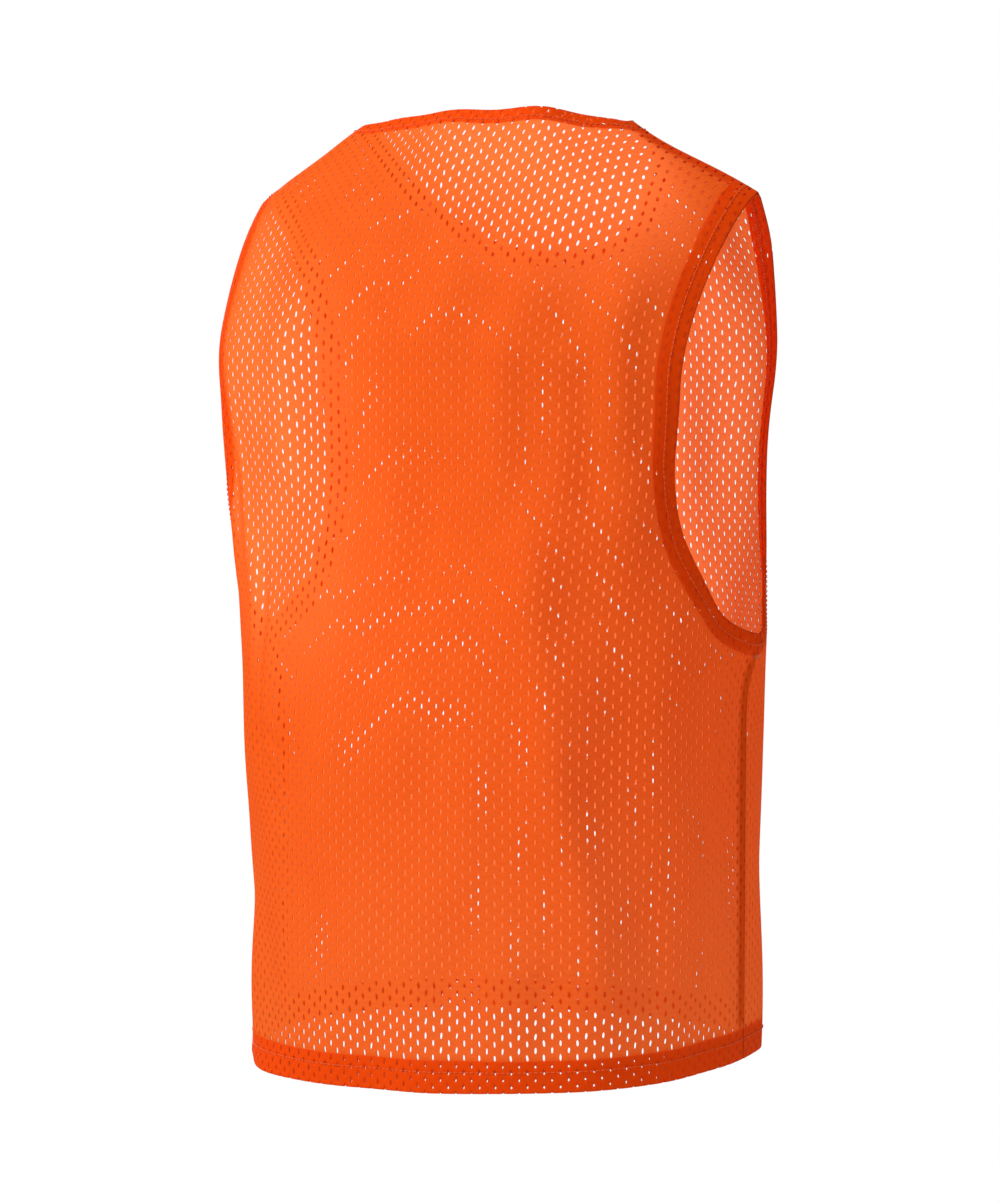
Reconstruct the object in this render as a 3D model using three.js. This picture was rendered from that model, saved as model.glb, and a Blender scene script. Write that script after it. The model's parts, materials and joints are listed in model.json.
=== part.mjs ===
// Training vest: a sleeveless pullover of open-hole knitted mesh, in the shape that it takes when worn.
// X points to the wearer's left, +Y to the wearer's back and +Z up. The origin lies midway between the
// two points where the neck opening meets the shoulder seams. All sizes are in millimetres.
import * as THREE from "three";

// ---------------------------------------------------------------- Driving dimensions
const BODY_LENGTH = 690; // from the neck point of the shoulder straight down to the hem
const UNDERARM_DROP = 374; // from the same point down to the underarm
const CHEST_DROP = 235; // level at which the chest section is reached
const WAIST_DROP = 480; // level below which the section stays that of the hem
const HEM_HALF_WIDTH = 202;
const CHEST_HALF_WIDTH = 201;
const YOKE_HALF_WIDTH = 211; // half width of the section at the shoulder ridge
const YOKE_TOP_DROP = 100; // level from which the sides have reached that width
const HEM_DEPTH_BACK = 168;
const HEM_DEPTH_FRONT = 128;
const CHEST_DEPTH_BACK = 130;
const CHEST_DEPTH_FRONT = 95;
const HEM_SQUARENESS = 2.35; // exponent of the superellipse that the section follows
const CHEST_SQUARENESS = 3;
const YOKE_HEIGHT = 215; // how far below the ridge the cloth starts to lean in to the shoulders
const YOKE_ROUNDNESS = 1.6;
const SHOULDER_SLOPE = 0.66; // fall of the ridge per millimetre outwards
const RIDGE_ROUNDING = 60; // how softly the two shoulder slopes meet over the neck
const SLOPE_BLEND = 90; // height over the underarm at which rows start to follow the ridge
const NECK_HALF_WIDTH = 118;
const SHOULDER_HALF_WIDTH = 203; // shoulder tip, measured across the cloth
const NECK_DROP_BACK = 76; // cut below the virtual top of the ridge, along the cloth's height
const NECK_DROP_FRONT = 168;
const NECK_CURVE_BACK = 2.6; // exponent of the neck curve
const NECK_CURVE_FRONT = 2.1;
const ARMHOLE_INSET = 193; // lateral place of the armhole's straight stretch
const ARMHOLE_SWEEP = 135; // height over which the armhole curves out to the underarm
const ARMHOLE_CURVE = 1.75;
const ARMHOLE_LENGTH = 380; // rough length of one edge, only to place the ends of what is sewn along it
const CLOTH = 0.6; // thickness of one ply of mesh
const PLY_GAP = 1.2; // air between two plies
const SEAM_GAP = 0.6; // each panel's edge stops this far from the seam line
const PLY_END = 2; // an inner ply stops this far from the same line
const FOLD_CLEARANCE = 0.4; // an inner ply or allowance starts this far inside the panel's own edge
const NECK_HEM_REACH = 0.985; // share of each half of the neck edge that its turned hem covers
const NECK_ROW_REACH = 0.97; // the same for the stitch row, which leaves its two ends apart
const BOTTOM_ROW_REACH = 0.985; // share of the half panel at which the bottom row's ends stay apart
const ARMHOLE_ROW_START = 0.012; // share of the armhole edge left open at the row's two ends
const BOTTOM_HEM = 22;
const BOTTOM_STITCH = 14.5; // stitch row above the bottom edge
const NECK_HEM = 11.5;
const NECK_STITCH = 9;
const ARMHOLE_HEM = 15.5;
const ARMHOLE_STITCH = 8;
const SEAM_ALLOWANCE = 8;
const HEM_CLEARANCE = 2; // between a hem's inner edge and the end of a seam allowance
const THREAD_RADIUS = 0.45;
const THREAD_LIFT = 1.7; // stitch rows over the middle of the ply that they cross
const CREST_LIFT = 2; // extra height with which a stitch row passes over the shoulder seam
const OVERLOCK_RADIUS = 0.55;
const OVERLOCK_GAP = 0.3; // between a seam allowance and the thread along its edge
const TACK_WIDTH = 9;
const TACK_HEIGHT = 2.4;
const TACK_THICKNESS = 1;
const LABEL_THICKNESS = 0.5;
const LABEL_INSET = 7; // hinge line of the labels, inwards from the side seam
const LABEL_ROOT_GAP = 1.2; // between the hinge line and the label's sewn edge
const CARE_LABEL = { width: 34, height: 56, aboveHem: 88 };
const SIZE_LABEL = { width: 22, height: 24, aboveHem: 152 };
const LABEL_LEAN = 30; // degrees between the wall of cloth and a label at rest
const LABEL_CORNER = 2;

// ---------------------------------------------------------------- Finishes
const FINISH = {
  mesh: { color: 0xf46a2e, roughness: 0.78, metalness: 0 },
  hem: { color: 0xe4480a, roughness: 0.78, metalness: 0 },
  seam: { color: 0xd9480e, roughness: 0.8, metalness: 0 },
  thread: { color: 0xff7a30, roughness: 0.6, metalness: 0 },
  label: { color: 0xf4f1ea, roughness: 0.55, metalness: 0 },
};

const smooth = (t) => {
  const c = THREE.MathUtils.clamp(t, 0, 1);
  return c * c * (3 - 2 * c);
};
const lerp = THREE.MathUtils.lerp;

// ---------------------------------------------------------------- The worn shape
// The half section from the middle of a panel to the side seam, at one level between hem (0) and ridge (1).
const ridgeHeight = (x) =>
  -SHOULDER_SLOPE * (Math.hypot(x, RIDGE_ROUNDING) - Math.hypot(NECK_HALF_WIDTH, RIDGE_ROUNDING));
const RIDGE_TOP = ridgeHeight(0);
const SECTION_STEPS = 240;

function halfSection(level, depthHem, depthChest) {
  const z = lerp(-BODY_LENGTH, RIDGE_TOP, level);
  const lean = THREE.MathUtils.clamp((YOKE_HEIGHT - (RIDGE_TOP - z)) / YOKE_HEIGHT, 0, 1);
  const inward = (1 - lean ** YOKE_ROUNDNESS) ** (1 / YOKE_ROUNDNESS);
  const rise = smooth((z + WAIST_DROP) / (WAIST_DROP - CHEST_DROP));
  const yoke = smooth((z + CHEST_DROP) / (CHEST_DROP - YOKE_TOP_DROP));
  const halfWidth =
    lerp(HEM_HALF_WIDTH, CHEST_HALF_WIDTH, rise) + (YOKE_HALF_WIDTH - CHEST_HALF_WIDTH) * yoke;
  const depth = lerp(depthHem, depthChest, rise) * inward;
  const power = 2 / lerp(HEM_SQUARENESS, CHEST_SQUARENESS, rise);
  const blendFrom = SLOPE_BLEND - UNDERARM_DROP;
  const follow = smooth((z - blendFrom) / (RIDGE_TOP - blendFrom));
  const points = [];
  for (let i = 0; i <= SECTION_STEPS; i++) {
    const angle = (Math.PI / 2) * (1 - i / SECTION_STEPS);
    const x = i === 0 ? 0 : halfWidth * Math.cos(angle) ** power;
    const y = depth * Math.sin(angle) ** power;
    points.push(new THREE.Vector3(x, y, z + follow * (ridgeHeight(x) - RIDGE_TOP)));
  }
  return points;
}

// One panel's worn surface. Its own coordinates are those of the flat cloth: p across, q up from the hem.
class WornPanel {
  constructor(facing, depthHem, depthChest) {
    this.facing = facing; // 1 for the back, -1 for the front
    this.levels = 96;
    this.columns = 84;
    this.reach = 330;
    const underarm = (BODY_LENGTH - UNDERARM_DROP) / (BODY_LENGTH + RIDGE_TOP);
    const sections = [];
    for (let j = 0; j <= this.levels; j++) {
      const points = halfSection(j / this.levels, depthHem, depthChest);
      const arc = [0];
      for (let i = 1; i < points.length; i++)
        arc.push(arc[i - 1] + Math.hypot(points[i].x - points[i - 1].x, points[i].y - points[i - 1].y));
      sections.push({ points, arc, length: arc[arc.length - 1] });
    }
    const at = underarm * this.levels;
    const below = Math.floor(at);
    this.halfWidth = lerp(sections[below].length, sections[below + 1].length, at - below);
    this.table = sections.map((s, j) => this.spread(s, j < at ? s.length / this.halfWidth : 1));
    this.heights = this.table.map(() => new Float64Array(this.columns + 1));
    for (let j = 1; j <= this.levels; j++)
      for (let i = 0; i <= this.columns; i++)
        this.heights[j][i] = this.heights[j - 1][i] + this.table[j][i].distanceTo(this.table[j - 1][i]);
    this.underarm = this.heightAt(this.halfWidth, underarm);
  }
  // Points of one section at equal steps of the lateral coordinate.
  spread(section, stretch) {
    const row = [];
    let k = 1;
    for (let i = 0; i <= this.columns; i++) {
      const along = (i / this.columns) * this.reach * stretch;
      while (k < section.arc.length - 1 && section.arc[k] < along) k++;
      const t = Math.min(1, (along - section.arc[k - 1]) / (section.arc[k] - section.arc[k - 1]));
      const point = section.points[k - 1].clone().lerp(section.points[k], t);
      point.x += Math.max(0, along - section.length);
      row.push(point);
    }
    return row;
  }
  cell(p) {
    const f = THREE.MathUtils.clamp((Math.abs(p) / this.reach) * this.columns, 0, this.columns - 1e-6);
    return [Math.floor(f), f - Math.floor(f)];
  }
  column(j, p) {
    const [i, t] = this.cell(p);
    return lerp(this.heights[j][i], this.heights[j][i + 1], t);
  }
  heightAt(p, level) {
    const f = Math.min(level * this.levels, this.levels - 1e-6);
    return lerp(this.column(Math.floor(f), p), this.column(Math.floor(f) + 1, p), f % 1);
  }
  // The worn place of the cloth's point (p, q).
  place(p, q) {
    let low = 0;
    let high = this.levels;
    while (high - low > 1) {
      const middle = (low + high) >> 1;
      if (this.column(middle, p) <= q) low = middle;
      else high = middle;
    }
    const from = this.column(low, p);
    const t = (q - from) / (this.column(high, p) - from);
    const [i, s] = this.cell(p);
    const lower = this.table[low][i].clone().lerp(this.table[low][i + 1], s);
    const upper = this.table[high][i].clone().lerp(this.table[high][i + 1], s);
    const point = lower.lerp(upper, t);
    return point.set(point.x * (p < 0 ? -1 : 1), point.y * this.facing, point.z);
  }
  // The same, moved out of the body by offset.
  lifted(p, q, offset) {
    const step = 1.5; // half the length over which the cloth's slope is measured
    const side = this.halfWidth - SEAM_GAP / 2;
    const left = THREE.MathUtils.clamp(p - step, -side, side);
    const right = THREE.MathUtils.clamp(p + step, -side, side);
    const top = Math.min(q + step, this.heightAt(p, 1));
    const across = this.place(right, q).sub(this.place(left, q));
    const up = this.place(p, top).sub(this.place(p, Math.max(0, top - 2 * step)));
    const normal = up.cross(across).multiplyScalar(this.facing).normalize();
    return this.place(p, q).addScaledVector(normal, offset);
  }
  // Edges of the cut panel, all for the wearer's left half; t runs from 0 to 1.
  armholeEdge(t) {
    const bottom = this.underarm;
    const top = this.heightAt(SHOULDER_HALF_WIDTH, 1) - SEAM_GAP;
    const bend = bottom + ARMHOLE_SWEEP;
    const share = 0.55; // part of t that the curved stretch takes
    const wide = this.halfWidth - SEAM_GAP;
    if (t < share) {
      const angle = (Math.PI / 2) * (t / share);
      return [
        wide - (wide - ARMHOLE_INSET) * Math.sin(angle) ** (2 / ARMHOLE_CURVE),
        bend - ARMHOLE_SWEEP * Math.cos(angle) ** (2 / ARMHOLE_CURVE),
      ];
    }
    const s = (t - share) / (1 - share);
    return [lerp(ARMHOLE_INSET, SHOULDER_HALF_WIDTH, s * s * s), lerp(bend, top, s)];
  }
  sideEdge(t) {
    return [this.halfWidth - SEAM_GAP, t * this.underarm];
  }
  neckEdge(t) {
    const drop = this.facing > 0 ? NECK_DROP_BACK : NECK_DROP_FRONT;
    const curve = this.facing > 0 ? NECK_CURVE_BACK : NECK_CURVE_FRONT;
    const angle = (Math.PI / 2) * t;
    const p = NECK_HALF_WIDTH * Math.sin(angle) ** (2 / curve);
    const corner = this.heightAt(NECK_HALF_WIDTH, 1) - SEAM_GAP;
    const middle = this.heightAt(0, 1) - drop;
    return [p, corner - (corner - middle) * Math.cos(angle) ** (2 / curve)];
  }
  shoulderEdge(t) {
    const p = lerp(NECK_HALF_WIDTH, SHOULDER_HALF_WIDTH, t);
    return [p, this.heightAt(p, 1) - SEAM_GAP];
  }
}
const back = new WornPanel(1, HEM_DEPTH_BACK, CHEST_DEPTH_BACK);
const front = new WornPanel(-1, HEM_DEPTH_FRONT, CHEST_DEPTH_FRONT);

// ---------------------------------------------------------------- Solids of cloth and thread
// A closed sheet: map(u, v) gives the cloth's (p, q) for each pair of the breakpoints us and vs.
function sheet(panel, us, vs, map, inner, outer) {
  const columns = us.length;
  const rows = vs.length;
  const positions = [];
  for (const offset of [inner, outer])
    for (const v of vs) for (const u of us) positions.push(...panel.lifted(...map(u, v), offset).toArray());
  const index = [];
  const vertex = (layer, j, i) => (layer * rows + j) * columns + i;
  const at = (k) => new THREE.Vector3().fromArray(positions, 3 * k);
  const quad = (a, b, c, d) => {
    if (at(a).distanceTo(at(c)) <= at(b).distanceTo(at(d))) index.push(a, b, c, a, c, d);
    else index.push(a, b, d, b, c, d); // split along the shorter diagonal
  };
  for (let j = 0; j < rows - 1; j++)
    for (let i = 0; i < columns - 1; i++) {
      quad(vertex(1, j, i), vertex(1, j + 1, i), vertex(1, j + 1, i + 1), vertex(1, j, i + 1));
      quad(vertex(0, j, i), vertex(0, j, i + 1), vertex(0, j + 1, i + 1), vertex(0, j + 1, i));
    }
  for (let i = 0; i < columns - 1; i++) {
    quad(vertex(0, 0, i + 1), vertex(0, 0, i), vertex(1, 0, i), vertex(1, 0, i + 1));
    const top = rows - 1;
    quad(vertex(0, top, i), vertex(0, top, i + 1), vertex(1, top, i + 1), vertex(1, top, i));
  }
  for (let j = 0; j < rows - 1; j++) {
    quad(vertex(0, j, 0), vertex(0, j + 1, 0), vertex(1, j + 1, 0), vertex(1, j, 0));
    const last = columns - 1;
    quad(vertex(0, j + 1, last), vertex(0, j, last), vertex(1, j, last), vertex(1, j + 1, last));
  }
  const geometry = new THREE.BufferGeometry();
  geometry.setAttribute("position", new THREE.Float32BufferAttribute(positions, 3));
  geometry.setIndex(index);
  return turnOutwards(geometry);
}

// Reverses the faces of a closed geometry whose enclosed volume comes out negative.
function turnOutwards(geometry) {
  const position = geometry.getAttribute("position");
  const index = geometry.index.array;
  const [a, b, c] = [new THREE.Vector3(), new THREE.Vector3(), new THREE.Vector3()];
  let volume = 0;
  for (let i = 0; i < index.length; i += 3) {
    a.fromBufferAttribute(position, index[i]);
    b.fromBufferAttribute(position, index[i + 1]);
    c.fromBufferAttribute(position, index[i + 2]);
    volume += a.dot(b.cross(c));
  }
  if (volume < 0)
    for (let i = 0; i < index.length; i += 3) [index[i], index[i + 1]] = [index[i + 1], index[i]];
  geometry.computeVertexNormals();
  return geometry;
}

const THREAD_SIDES = 4;
const steps = (count, from = 0, to = 1) =>
  Array.from({ length: count + 1 }, (_, i) => lerp(from, to, i / count));

// A round thread along a list of points.
function thread(points, radius, spacing) {
  const path = new THREE.CatmullRomCurve3(points, false, "centripetal");
  const outline = new THREE.Shape(
    steps(THREAD_SIDES).slice(1).map((t) => new THREE.Vector2(radius, 0).rotateAround(new THREE.Vector2(), t * 2 * Math.PI)),
  );
  const count = Math.max(2, Math.round(path.getLength() / spacing));
  return new THREE.ExtrudeGeometry(outline, { steps: count, extrudePath: path, bevelEnabled: false });
}

const group = new THREE.Group();
function add(name, geometry, finish, parent = group) {
  const mesh = new THREE.Mesh(geometry, new THREE.MeshStandardMaterial(FINISH[finish]));
  mesh.name = name;
  parent.add(mesh);
  return mesh;
}
const half = CLOTH / 2;
const PLY = [-half - PLY_GAP - CLOTH, -half - PLY_GAP]; // one ply inside the panel
const DOUBLE_PLY = [PLY[0] - CLOTH, PLY[1]];

// ---------------------------------------------------------------- Panels
// A Coons patch over the half panel's four edges, mirrored to the other half.
const SEAM_SHARE = 0.42; // rows below the underarm
const YOKE_SHARE = 0.86; // rows below the bend over the shoulder
function panelMap(panel) {
  const right = (v) =>
    v <= SEAM_SHARE ? panel.sideEdge(v / SEAM_SHARE) : panel.armholeEdge((v - SEAM_SHARE) / (1 - SEAM_SHARE));
  const neckShare = NECK_HALF_WIDTH / SHOULDER_HALF_WIDTH;
  const top = (u) =>
    u <= neckShare ? panel.neckEdge(u / neckShare) : panel.shoulderEdge((u - neckShare) / (1 - neckShare));
  const middle = panel.neckEdge(0)[1];
  const tip = panel.armholeEdge(1)[1];
  return (u, v) => {
    const a = Math.abs(u);
    const [edgeP, edgeQ] = right(v);
    const [topP, topQ] = top(a);
    const straight = a * SHOULDER_HALF_WIDTH;
    const p = a * edgeP + v ** 3 * (topP - straight);
    const q = v * topQ + (1 - a) * v * middle + a * edgeQ - v * ((1 - a) * middle + a * tip);
    return [Math.sign(u) * p, q];
  };
}
const halfColumns = [...steps(6, 0, 0.45), ...steps(12, 0.45, 1).slice(1)];
const panelColumns = [...halfColumns.slice(1).reverse().map((u) => -u), ...halfColumns];
const shoulderRows = steps(9).map((t) => lerp(YOKE_SHARE, 1, 1 - (1 - t) ** 1.7));
const panelRows = [
  ...steps(8, 0, SEAM_SHARE),
  ...steps(17, SEAM_SHARE, YOKE_SHARE).slice(1),
  ...shoulderRows.slice(1), // closer together where the cloth bends over the shoulder
];
for (const [name, panel] of [["back_panel", back], ["front_panel", front]])
  add(name, sheet(panel, panelColumns, panelRows, panelMap(panel), -half, half), "mesh");

// ---------------------------------------------------------------- Turned hems
// A strip of the inner ply along an edge, from just inside the edge to the hem's depth.
const RIDGE_REACH = 30; // within this far of the shoulder seam a strip's rows turn to run along it
const NORMAL_STEP = 0.004; // share of the edge over which its direction is measured
function strip(panel, edge, depth, side) {
  const normalAt = (t) => {
    const a = edge(Math.max(0, t - NORMAL_STEP));
    const b = edge(Math.min(1, t + NORMAL_STEP));
    return new THREE.Vector2(a[1] - b[1], b[0] - a[0]).normalize();
  };
  return (u, v) => {
    const [p, q] = edge(u);
    const inward = normalAt(u).multiplyScalar(lerp(FOLD_CLEARANCE, depth, v));
    const ridge = panel.heightAt(p + inward.x, 1);
    const near = smooth(1 - (panel.heightAt(p, 1) - q) / RIDGE_REACH); // ends run along the shoulder seam
    const height = q + inward.y * (1 - near) + near * (ridge - panel.heightAt(p, 1));
    return [side * (p + inward.x), Math.min(height, ridge - PLY_END)];
  };
}
for (const [place, panel] of [["back", back], ["front", front]]) {
  const wide = panel.halfWidth - PLY_END;
  const bottom = (u, v) => [u * wide, lerp(FOLD_CLEARANCE, BOTTOM_HEM, v)];
  add(`bottom_hem_${place}`, sheet(panel, panelColumns, steps(2), bottom, ...PLY), "hem");
  const neck = (t) => panel.neckEdge(Math.abs(t));
  const neckMap = (u, v) => {
    const downwards = strip(panel, (t) => neck(1 - t), NECK_HEM, 1);
    const [p, q] = downwards(1 - Math.abs(u), v);
    return [Math.sign(u) * p, q];
  };
  add(`neck_hem_${place}`, sheet(panel, steps(44, -NECK_HEM_REACH, NECK_HEM_REACH), steps(2), neckMap, ...PLY), "hem");
  for (const [hand, side] of [["left", 1], ["right", -1]]) {
    const map = strip(panel, (t) => panel.armholeEdge(t), ARMHOLE_HEM, side);
    const along = steps(44, PLY_END / ARMHOLE_LENGTH, 1 - PLY_END / ARMHOLE_LENGTH);
    add(`armhole_hem_${place}_${hand}`, sheet(panel, along, steps(3), map, ...PLY), "hem");
  }
}

// ---------------------------------------------------------------- Seam allowances and their overlock threads
const insideLift = (PLY[0] + PLY[1]) / 2;
for (const [hand, side] of [["left", 1], ["right", -1]]) {
  const seamEdge = back.halfWidth - SEAM_GAP - FOLD_CLEARANCE;
  const seamFoot = BOTTOM_HEM + HEM_CLEARANCE;
  const seamHead = back.underarm - ARMHOLE_HEM - HEM_CLEARANCE;
  const sideMap = (u, v) => [side * (seamEdge - u * SEAM_ALLOWANCE), lerp(seamFoot, seamHead, v)];
  add(`side_seam_${hand}`, sheet(back, steps(1), steps(14), sideMap, ...DOUBLE_PLY), "seam");
  const edging = seamEdge - SEAM_ALLOWANCE - 2 * OVERLOCK_RADIUS - OVERLOCK_GAP;
  const sidePath = steps(14, seamFoot, seamHead).map((q) => back.lifted(side * edging, q, insideLift));
  add(`side_overlock_${hand}`, thread(sidePath, OVERLOCK_RADIUS, 20), "thread");

  const neckEnd = NECK_HALF_WIDTH + NECK_HEM + HEM_CLEARANCE;
  const tipEnd = SHOULDER_HALF_WIDTH - ARMHOLE_HEM - HEM_CLEARANCE;
  const ridge = (p, down) => [side * p, back.heightAt(p, 1) - SEAM_GAP - FOLD_CLEARANCE - down];
  const shoulderMap = (u, v) => ridge(lerp(neckEnd, tipEnd, u), v * SEAM_ALLOWANCE);
  add(`shoulder_seam_${hand}`, sheet(back, steps(6), steps(1), shoulderMap, ...DOUBLE_PLY), "seam");
  const shoulderPath = steps(8, neckEnd, tipEnd).map((p) =>
    back.lifted(...ridge(p, SEAM_ALLOWANCE + 2 * OVERLOCK_RADIUS + OVERLOCK_GAP), insideLift),
  );
  add(`shoulder_overlock_${hand}`, thread(shoulderPath, OVERLOCK_RADIUS, 10), "thread");

  // The tack that closes the foot of the armhole, across the side seam.
  const tackHeight = back.underarm - ARMHOLE_HEM - TACK_HEIGHT;
  const seat = back.place(side * (back.halfWidth - SEAM_GAP / 2), tackHeight);
  const tack = add(
    `underarm_tack_${hand}`,
    new THREE.BoxGeometry(TACK_THICKNESS, TACK_WIDTH, TACK_HEIGHT, 1, 2, 1),
    "thread",
  );
  tack.position.set(seat.x + side * (THREAD_LIFT + TACK_THICKNESS / 2 - THREAD_RADIUS), 0, seat.z);
}

// ---------------------------------------------------------------- Stitch rows on the outside
const stitchPath = (panel, map, count, from, to) =>
  steps(count, from, to).map((u) => panel.lifted(...map(u), THREAD_LIFT));
// Joins a row on the back to one on the front, over the shoulder seam.
const CREST = new THREE.Vector3(0, 0, CREST_LIFT);
const overShoulder = (a, b) => [...a, a[a.length - 1].clone().lerp(b[0], 0.5).add(CREST), ...b];
const bottomRow = (panel) => (u) => [u * (panel.halfWidth - SEAM_GAP), BOTTOM_STITCH];
const bottomPath = [
  ...stitchPath(back, bottomRow(back), 50, BOTTOM_ROW_REACH, -1),
  ...stitchPath(front, bottomRow(front), 46, -1, BOTTOM_ROW_REACH),
];
add("bottom_stitching", thread(bottomPath, THREAD_RADIUS, 14), "thread");
const neckRow = (panel) => (u) => {
  const [p, q] = strip(panel, (t) => panel.neckEdge(1 - t), NECK_STITCH, 1)(1 - Math.abs(u), 1);
  return [Math.sign(u) * p, q];
};
const neckPath = overShoulder(
  stitchPath(back, neckRow(back), 36, NECK_ROW_REACH, -1),
  stitchPath(front, neckRow(front), 40, -1, NECK_ROW_REACH),
);
add("neck_stitching", thread(neckPath, THREAD_RADIUS, 6), "thread");
for (const [hand, side] of [["left", 1], ["right", -1]]) {
  const row = (panel) => (u) => strip(panel, (t) => panel.armholeEdge(t), ARMHOLE_STITCH, side)(u, 1);
  const path = overShoulder(
    stitchPath(back, row(back), 40, ARMHOLE_ROW_START, 1),
    stitchPath(front, row(front), 40, 1, ARMHOLE_ROW_START),
  );
  add(`armhole_stitching_${hand}`, thread(path, THREAD_RADIUS, 8), "thread");
}

// ---------------------------------------------------------------- Labels in the wearer's left side seam
// Each swings about the vertical line along which it is sewn in.
const sideX = (height) => back.place(back.halfWidth - SEAM_GAP, height).x;
const hinge = new THREE.Vector2(
  sideX(CARE_LABEL.aboveHem) - LABEL_INSET,
  SEAM_ALLOWANCE / 2,
);
function label(name, size) {
  const shape = new THREE.Shape();
  const r = LABEL_CORNER;
  shape.moveTo(0, 0);
  shape.lineTo(size.width - r, 0);
  shape.absarc(size.width - r, r, r, -Math.PI / 2, 0, false);
  shape.lineTo(size.width, size.height - r);
  shape.absarc(size.width - r, size.height - r, r, 0, Math.PI / 2, false);
  shape.lineTo(0, size.height);
  const plate = new THREE.ExtrudeGeometry(shape, {
    depth: LABEL_THICKNESS,
    bevelEnabled: false,
    curveSegments: 3,
  });
  plate.translate(LABEL_ROOT_GAP, 0, -LABEL_THICKNESS / 2);
  plate.rotateX(Math.PI / 2);
  const mesh = add(name, plate, "label");
  mesh.position.set(hinge.x, hinge.y, size.aboveHem - BODY_LENGTH);
  mesh.rotation.z = THREE.MathUtils.degToRad(90 + LABEL_LEAN);
}
label("care_label", CARE_LABEL);
label("size_label", SIZE_LABEL);
const stitchFoot = CARE_LABEL.aboveHem - BODY_LENGTH;
const stitchHead = SIZE_LABEL.aboveHem + SIZE_LABEL.height - BODY_LENGTH;
const labelStitch = steps(4, stitchFoot, stitchHead).map((z) => new THREE.Vector3(hinge.x, hinge.y, z));
add("label_stitching", thread(labelStitch, THREAD_RADIUS, 30), "thread");

export default group;
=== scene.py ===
"""Training vest of orange open-hole knit, hanging in the shape that it takes when worn.

Every piece of cloth is drawn flat first, with its eyelets cut out, in the coordinates of the pattern
(p across, q up from the hem, in millimetres), and is then lifted on to the worn surface of its panel.
Hems and seam allowances are turned over the same edges as the panels end at, so that they always fit.
"""

import json
import logging
import math
from dataclasses import dataclass, field
from enum import Enum
from typing import Any, ClassVar, Sequence

import bpy
import numpy as np
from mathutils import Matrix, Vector
from mathutils.geometry import delaunay_2d_cdt
from mathutils.kdtree import KDTree


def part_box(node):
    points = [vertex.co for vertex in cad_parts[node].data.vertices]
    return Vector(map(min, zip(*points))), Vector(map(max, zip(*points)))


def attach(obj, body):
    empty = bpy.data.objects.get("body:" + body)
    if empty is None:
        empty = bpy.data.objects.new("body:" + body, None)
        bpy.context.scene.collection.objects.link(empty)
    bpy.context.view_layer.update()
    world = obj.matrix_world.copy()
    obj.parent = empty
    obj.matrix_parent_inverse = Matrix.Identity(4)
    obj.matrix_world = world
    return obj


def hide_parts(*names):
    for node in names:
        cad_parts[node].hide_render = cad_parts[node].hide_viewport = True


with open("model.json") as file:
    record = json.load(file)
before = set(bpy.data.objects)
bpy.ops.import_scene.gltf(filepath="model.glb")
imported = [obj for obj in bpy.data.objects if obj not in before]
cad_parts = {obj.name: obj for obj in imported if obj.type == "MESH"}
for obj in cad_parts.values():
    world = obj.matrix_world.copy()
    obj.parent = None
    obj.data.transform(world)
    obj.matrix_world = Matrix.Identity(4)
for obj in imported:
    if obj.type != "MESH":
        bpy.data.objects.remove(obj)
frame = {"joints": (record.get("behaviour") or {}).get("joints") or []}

log = logging.getLogger("training_vest")
Array = np.ndarray
Socket = bpy.types.NodeSocket
Value = float | tuple[float, ...] | Socket
MM = 0.001
UV_MAP = "OFBake"
UV_SPAN = 800.0  # mm of cloth that the UV square is wide and high
UV_FLOOR = 10.0  # mm of cloth below the hem line that the UV square takes in
CELL_REACH = 0.4  # share of its UV cell to which a loose face reaches from the middle
DOUBLED = "doubled"  # vertex attribute: 1 where a hem or an allowance lies behind the cloth; the knit is painted in shade there
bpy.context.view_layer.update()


class Facing(Enum):
    """The side of the wearer that a panel covers, as the sign of its Y."""

    BACK = 1
    FRONT = -1


class Hand(Enum):
    """The wearer's side, as the sign of its X."""

    LEFT = 1
    RIGHT = -1


# ------------------------------------------------------------------------------------------ Helpers
def smooth(t: Array | float) -> Array:
    """Returns the smooth step of t, from 0 at 0 to 1 at 1."""
    c = np.clip(t, 0.0, 1.0)
    return c * c * (3.0 - 2.0 * c)


def mix(a: Array | float, b: Array | float, t: Array | float) -> Array:
    """Returns a at t = 0 and b at t = 1."""
    return a + (b - a) * t


def unit(vectors: Array) -> Array:
    """Returns the vectors at length one."""
    return vectors / np.maximum(np.linalg.norm(vectors, axis=-1, keepdims=True), 1e-9)


def srgb(code: str) -> tuple[float, float, float, float]:
    """Turns an sRGB hex value into a linear colour.

    Args:
        code: The value, such as "#F46A2E".

    Returns:
        Linear red, green, blue and an alpha of one.
    """
    parts = [int(code[i : i + 2], 16) / 255 for i in (1, 3, 5)]
    linear = [c / 12.92 if c <= 0.04045 else ((c + 0.055) / 1.055) ** 2.4 for c in parts]
    return (linear[0], linear[1], linear[2], 1.0)


def add_node(
    tree: bpy.types.NodeTree, kind: str, inputs: dict[Any, Value] | None = None, **attributes: Any
) -> bpy.types.Node:
    """Adds a node with its settings and links.

    Args:
        tree: The node tree.
        kind: The node's type name.
        inputs: Input socket to its value, or to the output socket that feeds it.
        **attributes: Properties of the node itself.

    Returns:
        The new node.
    """
    node = tree.nodes.new(kind)
    for name, value in attributes.items():
        setattr(node, name, value)
    for socket, value in (inputs or {}).items():
        if isinstance(value, Socket):
            tree.links.new(value, node.inputs[socket])
        else:
            node.inputs[socket].default_value = value
    return node


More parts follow.
